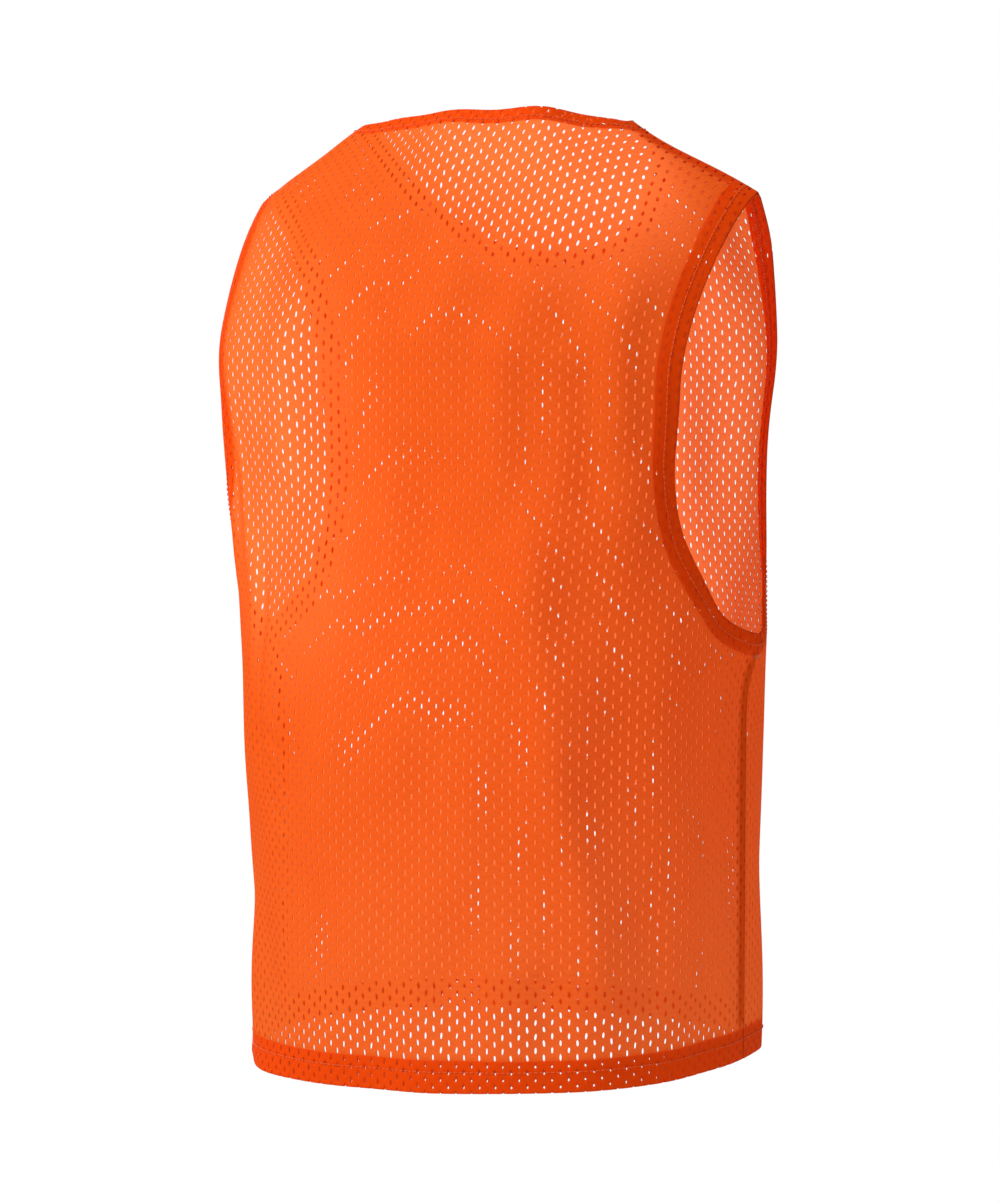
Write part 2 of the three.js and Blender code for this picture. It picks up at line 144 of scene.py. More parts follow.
def nearest(points: Array, places: Array) -> tuple[Array, Array]:
    """Finds the nearest point to each of many flat places.

    Args:
        points: The points to choose from.
        places: Where to look from.

    Returns:
        For each place, the index of its point and the distance to it.
    """
    tree = KDTree(len(points))
    for k, (x, y) in enumerate(points):
        tree.insert((x, y, 0), k)
    tree.balance()
    found = [tree.find((x, y, 0)) for x, y in places]
    return np.array([k for _, k, _ in found], int), np.array([distance for _, _, distance in found])


def make_piece(
    name: str,
    points: Array,
    faces: Sequence[Sequence[int]],
    material: bpy.types.Material,
    uv: Array | None = None,
    normals: Array | None = None,
    doubled: Array | None = None,
) -> bpy.types.Object:
    """Makes a mesh object from points in millimetres.

    Args:
        name: The object's name.
        points: Vertex places in millimetres.
        faces: Vertex indices of each face.
        material: Its finish.
        uv: One UV place per vertex, or None to give each face a cell of its own.
        normals: Shading normals per vertex, or None for those of the faces.
        doubled: How far each vertex lies over a second ply, from 0 to 1.

    Returns:
        The object, linked to the scene.
    """
    mesh = bpy.data.meshes.new(name)
    mesh.from_pydata((points * MM).tolist(), [], faces)
    mesh.shade_smooth()
    layer = mesh.uv_layers.new(name=UV_MAP)
    if uv is None:
        cells = math.ceil(math.sqrt(len(mesh.polygons)))
        flat = np.zeros((len(mesh.loops), 2))
        for k, face in enumerate(mesh.polygons):
            for n, loop in enumerate(face.loop_indices):
                turn = 2 * math.pi * n / face.loop_total
                x, y = CELL_REACH * math.cos(turn), CELL_REACH * math.sin(turn)
                flat[loop] = k % cells + 0.5 + x, k // cells + 0.5 + y
        flat /= cells
    else:
        index = np.zeros(len(mesh.loops), np.int32)
        mesh.loops.foreach_get("vertex_index", index)
        flat = uv[index]
    layer.data.foreach_set("uv", flat.astype(np.float32).ravel())
    if normals is not None:
        mesh.normals_split_custom_set_from_vertices(normals.tolist())
    if doubled is not None:
        mesh.attributes.new(DOUBLED, "FLOAT", "POINT").data.foreach_set("value", doubled.astype(np.float32))
    mesh.materials.append(material)
    piece = bpy.data.objects.new(name, mesh)
    bpy.context.scene.collection.objects.link(piece)
    log.info("%s: %d vertices, %d faces", name, len(mesh.vertices), len(mesh.polygons))
    return piece


# ------------------------------------------------------------------------------------- Sizes of the cut
@dataclass(frozen=True)
class VestSizes:
    """Sizes of the vest in millimetres; the overall ones come from the frame."""

    body_length: float
    hem_depth_back: float
    hem_depth_front: float
    underarm_drop: float = 374.0
    chest_drop: float = 235.0
    waist_drop: float = 480.0
    hem_half_width: float = 202.0
    chest_half_width: float = 201.0
    yoke_half_width: float = 211.0
    yoke_top_drop: float = 100.0
    chest_depth_back: float = 130.0
    chest_depth_front: float = 95.0
    hem_squareness: float = 2.35
    chest_squareness: float = 3.0
    yoke_height: float = 215.0
    yoke_roundness: float = 1.6
    shoulder_slope: float = 0.66
    ridge_rounding: float = 60.0
    slope_blend: float = 90.0
    neck_half_width: float = 118.0
    shoulder_half_width: float = 203.0
    neck_drop_back: float = 76.0
    neck_drop_front: float = 168.0
    neck_curve_back: float = 2.6
    neck_curve_front: float = 2.1
    armhole_inset: float = 193.0
    armhole_sweep: float = 135.0
    armhole_curve: float = 1.75
    cloth: float = 0.5
    fold_radius: float = 0.9  # half the distance between a panel and the ply turned in behind it
    bottom_hem: float = 22.0
    bottom_stitch: float = 14.5
    neck_hem: float = 11.5
    neck_stitch: float = 9.0
    armhole_hem: float = 15.5
    armhole_stitch: float = 8.0
    seam_allowance: float = 8.0
    hem_clearance: float = 2.0

    @classmethod
    def from_frame(cls) -> "VestSizes":
        """Reads the overall sizes from the CAD panels."""
        half_ply = 0.3
        low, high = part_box("back_panel")
        front_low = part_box("front_panel")[0]
        return cls(
            body_length=-low.z / MM,
            hem_depth_back=high.y / MM - half_ply,
            hem_depth_front=-front_low.y / MM - half_ply,
        )


@dataclass(frozen=True)
class EyeletLattice:
    """Centred lattice of upright eyelets, as the knitting machine's guide bars leave it."""

    across: float = 11.3
    up: float = 9.9
    half_width: float = 0.82
    half_height: float = 2.3
    spread: float = 0.09  # share by which one eyelet's size differs from the next
    lean: float = 0.07  # radians by which an eyelet leans either way
    seed: int = 20

    def eyelets(self, half_reach: float, low: float, high: float, phase: float = 0.0) -> Array:
        """Outlines of all eyelets of one ply.

        Args:
            half_reach: Half the width of the cloth.
            low: Lowest q.
            high: Highest q.
            phase: Shift of the rows, as a share of the lattice's height.

        Returns:
            An array of eyelets by eight corners by (p, q).
        """
        rng = np.random.default_rng(self.seed)
        rows = np.arange(math.floor(2 * low / self.up), math.ceil(2 * high / self.up) + 1)
        columns = np.arange(-math.ceil(half_reach / self.across), math.ceil(half_reach / self.across) + 1)
        row, column = (g.ravel() for g in np.meshgrid(rows, columns, indexing="ij"))
        centres = np.stack([(column + (row % 2) / 2) * self.across, (row / 2 + phase) * self.up], axis=1)
        turn = np.arange(8) * math.pi / 4
        shape = np.stack([np.cos(turn) * self.half_width, np.sin(turn) * self.half_height], axis=1)
        size = 1 + self.spread * rng.uniform(-1, 1, (len(centres), 1, 2))
        outline = shape[None] * size
        lean = self.lean * (np.where(row % 2, 1.0, -1.0) + rng.uniform(-1, 1, len(centres)))
        outline[..., 0] += outline[..., 1] * np.tan(lean)[:, None]
        return centres[:, None] + outline


# ---------------------------------------------------------------------------------------- Folds
@dataclass(frozen=True)
class Fold:
    """One soft fold of the hanging cloth, along a slightly bowed line of the pattern."""

    FADE: ClassVar[float] = 0.3  # share of its length over which each end fades
    REST: ClassVar[float] = 0.15  # how far along that fading the fold already is at its end
    start: tuple[float, float]
    end: tuple[float, float]
    width: float
    height: float  # outwards where positive
    bow: float = 0.0  # how far the line's middle lies to the side

    def lift(self, p: Array, q: Array) -> Array:
        """Outward shift of the cloth at each place of the pattern."""
        start, end = np.array(self.start), np.array(self.end)
        length = float(np.linalg.norm(end - start))
        along = (end - start) / length
        t = ((p - start[0]) * along[0] + (q - start[1]) * along[1]) / length
        side = (p - start[0]) * along[1] - (q - start[1]) * along[0]
        side = side - self.bow * 4 * np.clip(t, 0, 1) * (1 - np.clip(t, 0, 1))
        ends = smooth(t / self.FADE + self.REST) * smooth((1 - t) / self.FADE + self.REST)
        return self.height * np.exp(-((side / self.width) ** 2)) * ends


@dataclass(frozen=True)
class Ripple:
    """Low, wide unevenness of cloth that hangs free, as a sum of waves with fixed random phases."""

    amplitude: float = 1.5
    across: float = 95.0
    up: float = 210.0
    waves: int = 9
    seed: int = 5

    def lift(self, p: Array, q: Array) -> Array:
        """Outward shift of the cloth at each place of the pattern."""
        rng = np.random.default_rng(self.seed)
        total = np.zeros_like(p)
        for _ in range(self.waves):
            a = 2 * math.pi / (self.across * rng.uniform(0.6, 1.8)) * rng.choice([-1, 1])
            b = 2 * math.pi / (self.up * rng.uniform(0.6, 2.2))
            total = total + np.sin(a * p + b * q + rng.uniform(0, 2 * math.pi))
        return self.amplitude * total / math.sqrt(self.waves / 2)


@dataclass(frozen=True)
class Tug:
    """A soft pull on a region of the worn vest, the same for both panels, so that their seams stay shut."""

    centre: tuple[float, float, float]
    reach: tuple[float, float, float]
    shift: tuple[float, float, float]

    def shift_at(self, places: Array) -> Array:
        """How far each place is pulled."""
        away = (places - np.array(self.centre)) / np.array(self.reach)
        return np.exp(-(away**2).sum(axis=-1))[..., None] * np.array(self.shift)


STANCE: tuple[Tug, ...] = (
    Tug((200, 20, -155), (110, 220, 118), (18, 0, 0)),  # left shoulder
    Tug((185, 95, -590), (95, 75, 165), (-12, -7, 0)),  # left flank
    Tug((-200, -20, -150), (110, 220, 135), (-12, 0, 0)),  # right shoulder
    Tug((-118, 0, 0), (50, 90, 60), (11, 0, 0)),  # right corner of the neck
    Tug((-84, 20, 0), (48, 100, 80), (0, 0, 6)),  # right half of the neck
    Tug((-138, 0, -10), (42, 150, 70), (0, 0, -3)),  # slope of the right shoulder
    Tug((60, 150, -690), (190, 160, 60), (0, 0, -2.8)),  # hem of the back
)


# ------------------------------------------------------------------------------------ The worn surface
class WornPanel:
    """The surface that one panel takes when worn, as a fine grid over the flat cloth."""

    LEVELS = 160  # of the table of plain places
    COLUMNS = 132
    REACH = 330.0  # how far the table goes across
    STEP = 2.5  # of the grid of worn places
    MARGIN = 10.0  # how far the grid goes on past the hem and the ridge
    SEAM_FADE = 40.0  # distance from the side seam within which folds die out
    RIDGE_FADE = 60.0
    TILT = 5.0  # drop of the right side and rise of the left one
    TILT_BY_HEIGHT = 15.0
    JUT = 11.0  # how far the foot of each armhole stands out
    JUT_HEIGHT = 30.0
    JUT_WIDTH = 75.0
    BEND_SHARE = 0.55  # share of the armhole edge that curves out to the underarm

    def __init__(self, sizes: VestSizes, facing: Facing, folds: Sequence[Fold | Ripple]) -> None:
        """Works out the section tables and the draped grid.

        Args:
            sizes: The vest's sizes.
            facing: Which side of the wearer the panel covers.
            folds: What is added to the plain shape.
        """
        self.sizes, self.facing = sizes, facing
        back = facing is Facing.BACK
        self.depth_hem = sizes.hem_depth_back if back else sizes.hem_depth_front
        self.depth_chest = sizes.chest_depth_back if back else sizes.chest_depth_front
        self.ridge_top = float(self.ridge_height(np.array(0.0)))
        self._tables()
        self._drape(folds)

    def ridge_height(self, x: Array) -> Array:
        """Height of the shoulder ridge at x."""
        s = self.sizes
        fall = np.hypot(x, s.ridge_rounding) - np.hypot(s.neck_half_width, s.ridge_rounding)
        return -s.shoulder_slope * fall

    def _half_section(self, level: float) -> Array:
        """Points of one level from the middle of the panel to the side seam."""
        s = self.sizes
        z = mix(-s.body_length, self.ridge_top, level)
        lean = float(np.clip((s.yoke_height - (self.ridge_top - z)) / s.yoke_height, 0, 1))
        inward = (1 - lean**s.yoke_roundness) ** (1 / s.yoke_roundness)
        rise = smooth((z + s.waist_drop) / (s.waist_drop - s.chest_drop))
        yoke = smooth((z + s.chest_drop) / (s.chest_drop - s.yoke_top_drop))
        half = mix(s.hem_half_width, s.chest_half_width, rise)
        half = half + (s.yoke_half_width - s.chest_half_width) * yoke
        depth = mix(self.depth_hem, self.depth_chest, rise) * inward
        power = 2 / mix(s.hem_squareness, s.chest_squareness, rise)
        blend_from = s.slope_blend - s.underarm_drop
        follow = smooth((z - blend_from) / (self.ridge_top - blend_from))
        angle = np.linspace(math.pi / 2, 0, 361)
        x = half * np.abs(np.cos(angle)) ** power
        x[0] = 0.0
        y = depth * np.abs(np.sin(angle)) ** power
        return np.stack([x, y, z + follow * (self.ridge_height(x) - self.ridge_top)], axis=1)

    def _tables(self) -> None:
        """Fills the table of places by level and column, and the heights along each column."""
        s = self.sizes
        levels = np.linspace(0, 1, self.LEVELS + 1)
        sections = [self._half_section(level) for level in levels]
        arcs = [np.r_[0, np.cumsum(np.hypot(*np.diff(c[:, :2], axis=0).T))] for c in sections]
        underarm = (s.body_length - s.underarm_drop) / (s.body_length + self.ridge_top)
        self.half_width = float(np.interp(underarm, levels, [a[-1] for a in arcs]))
        self.columns = np.linspace(0, self.REACH, self.COLUMNS + 1)
        table = np.zeros((self.LEVELS + 1, self.COLUMNS + 1, 3))
        for j, (section, arc) in enumerate(zip(sections, arcs)):
            along = self.columns * (arc[-1] / self.half_width if levels[j] < underarm else 1.0)
            for k in range(3):
                table[j, :, k] = np.interp(along, arc, section[:, k])
            table[j, :, 0] += np.maximum(0, along - arc[-1])
        rises = np.linalg.norm(np.diff(table, axis=0), axis=2)
        self.heights = np.vstack([np.zeros(self.COLUMNS + 1), np.cumsum(rises, axis=0)])
        self.table = table
        column = [np.interp(self.half_width, self.columns, row) for row in self.heights]
        self.underarm = float(np.interp(underarm, levels, column))

    def ridge(self, p: Array) -> Array:
        """Height along the cloth of the shoulder ridge at p."""
        return np.interp(np.abs(p), self.columns, self.heights[-1])

    def _drape(self, folds: Sequence[Fold | Ripple]) -> None:
        """Makes the grid of worn places and normals, with folds and the wearer's stance."""
        reach = math.ceil((self.half_width + self.sizes.seam_allowance) / self.STEP) * self.STEP
        self.p_axis = np.arange(-reach, reach + self.STEP / 2, self.STEP)
        self.q_axis = np.arange(-self.MARGIN, self.heights[-1].max() + self.MARGIN, self.STEP)
        plain = np.zeros((len(self.q_axis), len(self.p_axis), 3))
        for i, p in enumerate(self.p_axis):
            at = min(abs(p) / self.REACH * self.COLUMNS, self.COLUMNS - 1e-6)
            k, share = int(at), at - int(at)
            height = mix(self.heights[:, k], self.heights[:, k + 1], share)
            places = mix(self.table[:, k], self.table[:, k + 1], share)
            level = np.interp(self.q_axis, height, np.arange(self.LEVELS + 1))
            level = np.where(self.q_axis < 0, self.q_axis / height[1], level)
            above = (self.q_axis - height[-1]) / (height[-1] - height[-2])
            level = np.where(above > 0, self.LEVELS + above, level)
            low = np.clip(np.floor(level).astype(int), 0, self.LEVELS - 1)
            share_up = (level - low)[:, None]
            plain[:, i] = mix(places[low], places[low + 1], share_up)
            plain[:, i, 0] *= -1 if p < 0 else 1
        plain[..., 1] *= self.facing.value
        normals = self._normals(plain)
        p, q = np.meshgrid(self.p_axis, self.q_axis)
        total = sum((fold.lift(p, q) for fold in folds), np.zeros_like(p))
        inside = smooth((self.half_width - np.abs(p)) / self.SEAM_FADE)
        inside = inside * smooth((self.ridge(p) - q) / self.RIDGE_FADE)
        self.places = plain + normals * (total * inside)[..., None] + self._stance(plain, p, q)
        self.normals = self._normals(self.places)

    def _normals(self, places: Array) -> Array:
        """Outward normals of a grid of places."""
        up, across = np.gradient(places, self.STEP, axis=(0, 1))
        return unit(np.cross(up, across) * self.facing.value)

    def _stance(self, plain: Array, p: Array, q: Array) -> Array:
        """Shift by which the vest hangs uneven: one side longer, and the underarm points standing out."""
        s = self.sizes
        side = plain[..., 0] / s.hem_half_width
        height = plain[..., 2] / s.body_length
        shift = sum((tug.shift_at(plain) for tug in STANCE), np.zeros_like(plain))
        shift[..., 2] += side * (self.TILT + self.TILT_BY_HEIGHT * height)
        near = np.exp(-(((q - self.underarm) / self.JUT_HEIGHT) ** 2))
        near = near * smooth((np.abs(p) - self.half_width + self.JUT_WIDTH) / self.JUT_WIDTH) ** 2
        shift[..., 0] += np.sign(p) * self.JUT * near
        return shift

    def _sample(self, grid: Array, p: Array, q: Array) -> Array:
        """Bilinear reading of a grid at places of the pattern."""
        u = np.clip((p - self.p_axis[0]) / self.STEP, 0, len(self.p_axis) - 1.001)
        v = np.clip((q - self.q_axis[0]) / self.STEP, 0, len(self.q_axis) - 1.001)
        i, j = u.astype(int), v.astype(int)
        s, t = (u - i)[..., None], (v - j)[..., None]
        return mix(mix(grid[j, i], grid[j, i + 1], s), mix(grid[j + 1, i], grid[j + 1, i + 1], s), t)

    def normal(self, p: Array, q: Array) -> Array:
        """Outward normals at places of the pattern."""
        return unit(self._sample(self.normals, p, q))

    def place(self, p: Array, q: Array, offset: Array | float = 0.0) -> Array:
        """Worn places of the cloth, moved outwards by offset."""
        lift = np.broadcast_to(offset, np.shape(p))[..., None]
        return self._sample(self.places, p, q) + self.normal(p, q) * lift

    # Edges of the cut, for the wearer's left half; t runs from 0 to 1.
    def armhole_edge(self, t: Array) -> Array:
        """The armhole from the underarm to the shoulder tip."""
        s = self.sizes
        bend, share = self.underarm + s.armhole_sweep, self.BEND_SHARE
        angle = math.pi / 2 * np.clip(t / share, 0, 1)
        rest = np.clip((t - share) / (1 - share), 0, 1)
        top = float(self.ridge(np.array(s.shoulder_half_width)))
        wide = self.half_width
        power = 2 / s.armhole_curve
        p = wide - (wide - s.armhole_inset) * np.abs(np.sin(angle)) ** power
        q = bend - s.armhole_sweep * np.abs(np.cos(angle)) ** power
        p = np.where(t > share, mix(s.armhole_inset, s.shoulder_half_width, rest**3), p)
        return np.stack([p, np.where(t > share, mix(bend, top, rest), q)], axis=-1)

    def neck_edge(self, t: Array) -> Array:
        """The neck from its middle to the shoulder seam."""
        s = self.sizes
        back = self.facing is Facing.BACK
        drop = s.neck_drop_back if back else s.neck_drop_front
        power = 2 / (s.neck_curve_back if back else s.neck_curve_front)
        angle = math.pi / 2 * t
        corner = float(self.ridge(np.array(s.neck_half_width)))
        middle = float(self.ridge(np.array(0.0))) - drop
        p = s.neck_half_width * np.abs(np.sin(angle)) ** power
        return np.stack([p, corner - (corner - middle) * np.abs(np.cos(angle)) ** power], axis=-1)


# -------------------------------------------------------------------------------- Edges and turned plies
class ClothEdge:
    """One edge of a panel's cut, with the outside of the cloth on its right-hand side."""

    SPACING = 2.4  # step between its points
    RIDGE_NEAR = 30.0  # distance from the shoulder seam within which turned cloth runs along it
    RIDGE_GAP = 0.2

    def __init__(self, panel: WornPanel, corners: Array, follow_ridge: bool) -> None:
        """Resamples the edge at even steps.

        Args:
            panel: The panel that it belongs to.
            corners: Places along the edge in the pattern.
            follow_ridge: Whether what is turned in along it runs along the shoulder seam near that seam.
        """
        self.panel, self.follow_ridge = panel, follow_ridge
        run = np.r_[0, np.cumsum(np.linalg.norm(np.diff(corners, axis=0), axis=1))]
        self.length = float(run[-1])
        self.along = np.linspace(0, self.length, max(3, round(self.length / self.SPACING)))
        self.points = np.stack([np.interp(self.along, run, corners[:, k]) for k in (0, 1)], axis=1)
        tangent = unit(np.gradient(self.points, axis=0))
        self.outward = np.stack([tangent[:, 1], -tangent[:, 0]], axis=1)

    def _at(self, s: Array) -> tuple[Array, Array]:
        """Place and outward direction at a length along the edge."""
        point = np.stack([np.interp(s, self.along, self.points[:, k]) for k in (0, 1)], axis=-1)
        outward = np.stack([np.interp(s, self.along, self.outward[:, k]) for k in (0, 1)], axis=-1)
        return point, unit(outward)

    def inside(self, s: Array, depth: Array | float) -> Array:
        """Place in the pattern that lies depth inside the edge."""
        point, outward = self._at(s)
        moved = point - outward * np.broadcast_to(depth, np.shape(s))[..., None]
        if not self.follow_ridge:
            return moved
        ridge = self.panel.ridge
        near = smooth(1 - (ridge(point[..., 0]) - point[..., 1]) / self.RIDGE_NEAR)
        along_ridge = point[..., 1] + ridge(moved[..., 0]) - ridge(point[..., 0])
        lowest = ridge(moved[..., 0]) - self.RIDGE_GAP
        moved[..., 1] = np.minimum(mix(moved[..., 1], along_ridge, near), lowest)
        return moved

    def turned(self, s: Array, d: Array, layer: float = 0.0) -> tuple[Array, Array]:
        """Worn place of a ply that is turned in over the edge.

        Args:
            s: Length along the edge.
            d: Depth inside the edge; the turn itself takes the depths below zero.
            layer: Extra distance of the ply from the panel.

        Returns:
            Places and shading normals.
        """
        radius = self.panel.sizes.fold_radius + layer / 2
        turn = np.clip((d + math.pi * radius) / radius, 0, math.pi)
        depth = np.maximum(d, 0) - radius * np.sin(turn)
        p, q = np.moveaxis(self.inside(s, depth), -1, 0)
        deeper = np.moveaxis(self.inside(s, depth + 2), -1, 0)
        places = self.panel.place(p, q, -radius * (1 - np.cos(turn)))
        edge_out = self.panel.place(p, q) - self.panel.place(*deeper)
        normals = self.panel.normal(p, q) * np.cos(turn)[..., None]
        return places, unit(normals + unit(edge_out) * np.sin(turn)[..., None])

    def mirror(self, outlines: Array, depth: float, radius: float) -> Array:
        """Outlines of the eyelets that lie past the edge, in the coordinates of the turned ply.

        Args:
            outlines: Eyelets of the flat cloth by corners by (p, q).
            depth: How far past the edge the cloth goes on.
            radius: Radius of the turn.

        Returns:
            Eyelets by corners by (s, d).
        """
        slack = 6  # how far an eyelet's middle may lie past the cloth that it cuts into
        middle, distance = nearest(self.points, outlines.mean(axis=1))
        near = (distance <= depth + slack) & (middle != 0) & (middle != len(self.points) - 1)
        outlines = outlines[near]
        foot = nearest(self.points, outlines.reshape(-1, 2))[0].reshape(outlines.shape[:2])
        outward = self.outward[foot]
        tangent = np.stack([-outward[..., 1], outward[..., 0]], axis=-1)
        gap = outlines - self.points[foot]
        past = (gap * outward).sum(axis=-1)
        turn = math.pi * radius
        kept = (past.max(axis=1) >= 0) & (past.min(axis=1) <= depth + turn)
        along = self.along[foot] + (gap * tangent).sum(axis=-1)
        return np.stack([along, past - turn], axis=-1)[kept]


def within(points: Array, outline: Array) -> Array:
    """Tells which points lie inside a closed outline."""
    inside = np.zeros(len(points), bool)
    x, y = points.T
    for (x0, y0), (x1, y1) in zip(outline, np.roll(outline, -1, axis=0)):
        crossing = (y0 > y) != (y1 > y)
        if y0 != y1:
            inside ^= crossing & (x < x0 + (y - y0) / (y1 - y0) * (x1 - x0))
    return inside


def cut_cloth(outline: Array, eyelets: Array, extra: Array | None = None) -> tuple[Array, Array]:
    """Triangulates a flat cut with its eyelets left open.

    Args:
        outline: Corners of the cut, in order.
        eyelets: Eyelets by corners by two coordinates.
        extra: More points that the cloth takes in.

    Returns:
        Flat points, and triangles as rows of three indices.
    """
    corners = eyelets.shape[1]
    eyelets = eyelets[within(eyelets.reshape(-1, 2), outline).reshape(-1, corners).any(axis=1)]
    loose = np.zeros((0, 2)) if extra is None else extra
    points = [Vector(c) for c in np.vstack([outline, eyelets.reshape(-1, 2), loose])]
    edges = [(k, (k + 1) % len(outline)) for k in range(len(outline))]
    for first in range(len(outline), len(outline) + len(eyelets) * corners, corners):
        edges += [(first + m, first + (m + 1) % corners) for m in range(corners)]
    made = delaunay_2d_cdt(points, edges, [], 0, 1e-4, False)
    flat = np.array([v[:] for v in made[0]])
    triangles = np.array([f[:] for f in made[2]], np.int64)
    middle = flat[triangles].mean(axis=1)
    kept = within(middle, outline)
    if len(eyelets):
        shape = eyelets[nearest(eyelets.mean(axis=1), middle)[0]]
        step = np.roll(shape, -1, axis=1) - shape
        gap = middle[:, None] - shape
        turn = step[..., 0] * gap[..., 1] - step[..., 1] * gap[..., 0]
        kept &= ~((turn > 0).all(axis=1) | (turn < 0).all(axis=1))
    used, renumbered = np.unique(triangles[kept], return_inverse=True)
    return flat[used], renumbered.reshape(-1, 3)


@dataclass
class Ply:
    """One ply of cloth: its worn places, triangles, normals, UV places, and what lies behind it."""

    places: Array
    faces: Array
    normals: Array
    uv: Array
    doubled: Array | None = None

    def lips(self, thickness: float) -> tuple[Array, list[list[int]], Array]:
        """Gives every free edge and eyelet its thickness.

        Args:
            thickness: How deep the edges are.

        Returns:
            All points, all faces, and for each point the index of the point that it came from.
        """
        faces, count = self.faces, len(self.places)
        pairs = np.concatenate([faces[:, [0, 1]], faces[:, [1, 2]], faces[:, [2, 0]]])
        _, first, uses = np.unique(np.sort(pairs, axis=1), axis=0, return_index=True, return_counts=True)
        rims = pairs[first[uses == 1]]
        rim_points, compact = np.unique(rims, return_inverse=True)
        compact = compact.reshape(-1, 2) + count
        inner = self.places[rim_points] - self.normals[rim_points] * thickness
        quads = np.stack([rims[:, 1], rims[:, 0], compact[:, 0], compact[:, 1]], axis=1)
        source = np.r_[np.arange(count), rim_points]
        return np.vstack([self.places, inner]), faces.tolist() + quads.tolist(), source

    def piece(self, name: str, thickness: float, material: bpy.types.Material) -> bpy.types.Object:
        """Makes the ply with thick edges, and with all its triangles facing outwards."""
        spans = self.places[self.faces]
        facing = np.cross(spans[:, 1] - spans[:, 0], spans[:, 2] - spans[:, 0])
        wrong = (facing * self.normals[self.faces].mean(axis=1)).sum(axis=1) < 0
        self.faces[wrong] = self.faces[wrong][:, ::-1]
        points, faces, source = self.lips(thickness)
        double = None if self.doubled is None else self.doubled[source]
        return make_piece(name, points, faces, material, self.uv[source], self.normals[source], double)


# -------------------------------------------------------------------------------------------- Threads
def tubes(centres: Array, normals: Array, radii: Array, sides: int = 5) -> tuple[Array, list[list[int]]]:
    """Round threads along lines of points, closed at both ends.

    Args:
        centres: Threads by points by three.
        normals: A direction across the thread at each point.
        radii: Radius at each point of a thread.
        sides: Corners of the section.

    Returns:
        Points and faces.
    """
    count, rings = centres.shape[:2]
    along = unit(np.gradient(centres, axis=1))
    first = unit(normals - along * (normals * along).sum(axis=-1, keepdims=True))
    second = np.cross(along, first)
    turn = np.arange(sides) * 2 * math.pi / sides
    ring = first[:, :, None] * np.cos(turn)[:, None] + second[:, :, None] * np.sin(turn)[:, None]
    points = centres[:, :, None] + ring * radii[None, :, None, None]
    index = np.arange(count * rings * sides).reshape(count, rings, sides)
    low, high = index[:, :-1], index[:, 1:]
    quads = np.stack([low, np.roll(low, -1, axis=2), np.roll(high, -1, axis=2), high], axis=-1)
    faces = quads.reshape(-1, 4).tolist()
    faces += index[:, 0, ::-1].tolist() + index[:, -1].tolist()
    return points.reshape(-1, 3), faces


class Line:
    """A line sewn along the cloth: places, normals and the length along it."""

    def __init__(self, places: Array, normals: Array) -> None:
        """Keeps the places and normals of the line."""
        self.places, self.normals = places, normals
        self.run = np.r_[0, np.cumsum(np.linalg.norm(np.diff(places, axis=0), axis=1))]
        self.length = float(self.run[-1])

    def at(self, s: Array) -> tuple[Array, Array, Array]:
        """Place, normal and sideways direction at lengths along the line."""
        place = np.stack([np.interp(s, self.run, self.places[:, k]) for k in range(3)], axis=-1)
        normal = unit(np.stack([np.interp(s, self.run, self.normals[:, k]) for k in range(3)], axis=-1))
        ahead = np.stack([np.interp(s + 1, self.run, self.places[:, k]) for k in range(3)], axis=-1)
        behind = np.stack([np.interp(s - 1, self.run, self.places[:, k]) for k in range(3)], axis=-1)
        return place, normal, unit(np.cross(unit(ahead - behind), normal))


@dataclass(frozen=True)
class Lockstitch:
    """A row of needle stitches on the outside, with the looper's zigzag on the inside."""

    length: float = 3.0
    gap: float = 0.9
    radius: float = 0.36
    zigzag: float = 1.7
    zigzag_pitch: float = 2.6
    inside: float = 2.8  # depth of the looper thread behind the panel

    def geometry(self, line: Line) -> tuple[Array, list[list[int]]]:
        """Points and faces of all stitches of the row."""
        count = max(2, int(line.length / (self.length + self.gap)))
        pitch = line.length / count
        middle = (np.arange(count) + 0.5) * pitch
        reach = (pitch - self.gap) / 2
        share = np.array([-1.0, -0.62, 0.0, 0.62, 1.0])
        place, normal, _ = line.at(middle[:, None] + share * reach)
        height = np.array([-0.35, 0.22, 0.42, 0.22, -0.35])
        radii = self.radius * np.array([0.6, 0.95, 1.0, 0.95, 0.6])
        points, faces = tubes(place + normal * height[:, None], normal, radii)
        turns = int(line.length / self.zigzag_pitch)
        s = np.linspace(0.5, line.length - 0.5, turns * 4)
        place, normal, across = line.at(s)
        swing = self.zigzag * np.sin(np.pi * 2 * s / self.zigzag_pitch)
        inner = place - normal * self.inside + across * swing[:, None]
        more, more_faces = tubes(inner[None], normal[None], np.full(len(s), self.radius * 0.85), 4)
        return join([(points, faces), (more, more_faces)])


@dataclass(frozen=True)
class Overlock:
    """Thread that wraps the raw edge of a seam allowance in close loops."""

    pitch: float = 2.3
    wide: float = 2.6
    deep: float = 0.9
    radius: float = 0.32

    def geometry(self, line: Line) -> tuple[Array, list[list[int]]]:
        """Points and faces of the looped thread."""
        turns = int(line.length / self.pitch)
        s = np.linspace(1.0, line.length - 1.0, turns * 7)
        place, normal, across = line.at(s)
        angle = 2 * math.pi * s / self.pitch
        centre = place + across * (self.wide * np.cos(angle))[:, None]
        centre = centre + normal * (self.deep * np.sin(angle))[:, None]
        return tubes(centre[None], normal[None], np.full(len(s), self.radius), 4)


def join(parts: Sequence[tuple[Array, list[list[int]]]]) -> tuple[Array, list[list[int]]]:
    """Joins several meshes into one list of points and one of faces."""
    points, faces, base = [], [], 0
    for more, more_faces in parts:
        points.append(more)
        faces += [[i + base for i in face] for face in more_faces]
        base += len(more)
    return np.vstack(points), faces


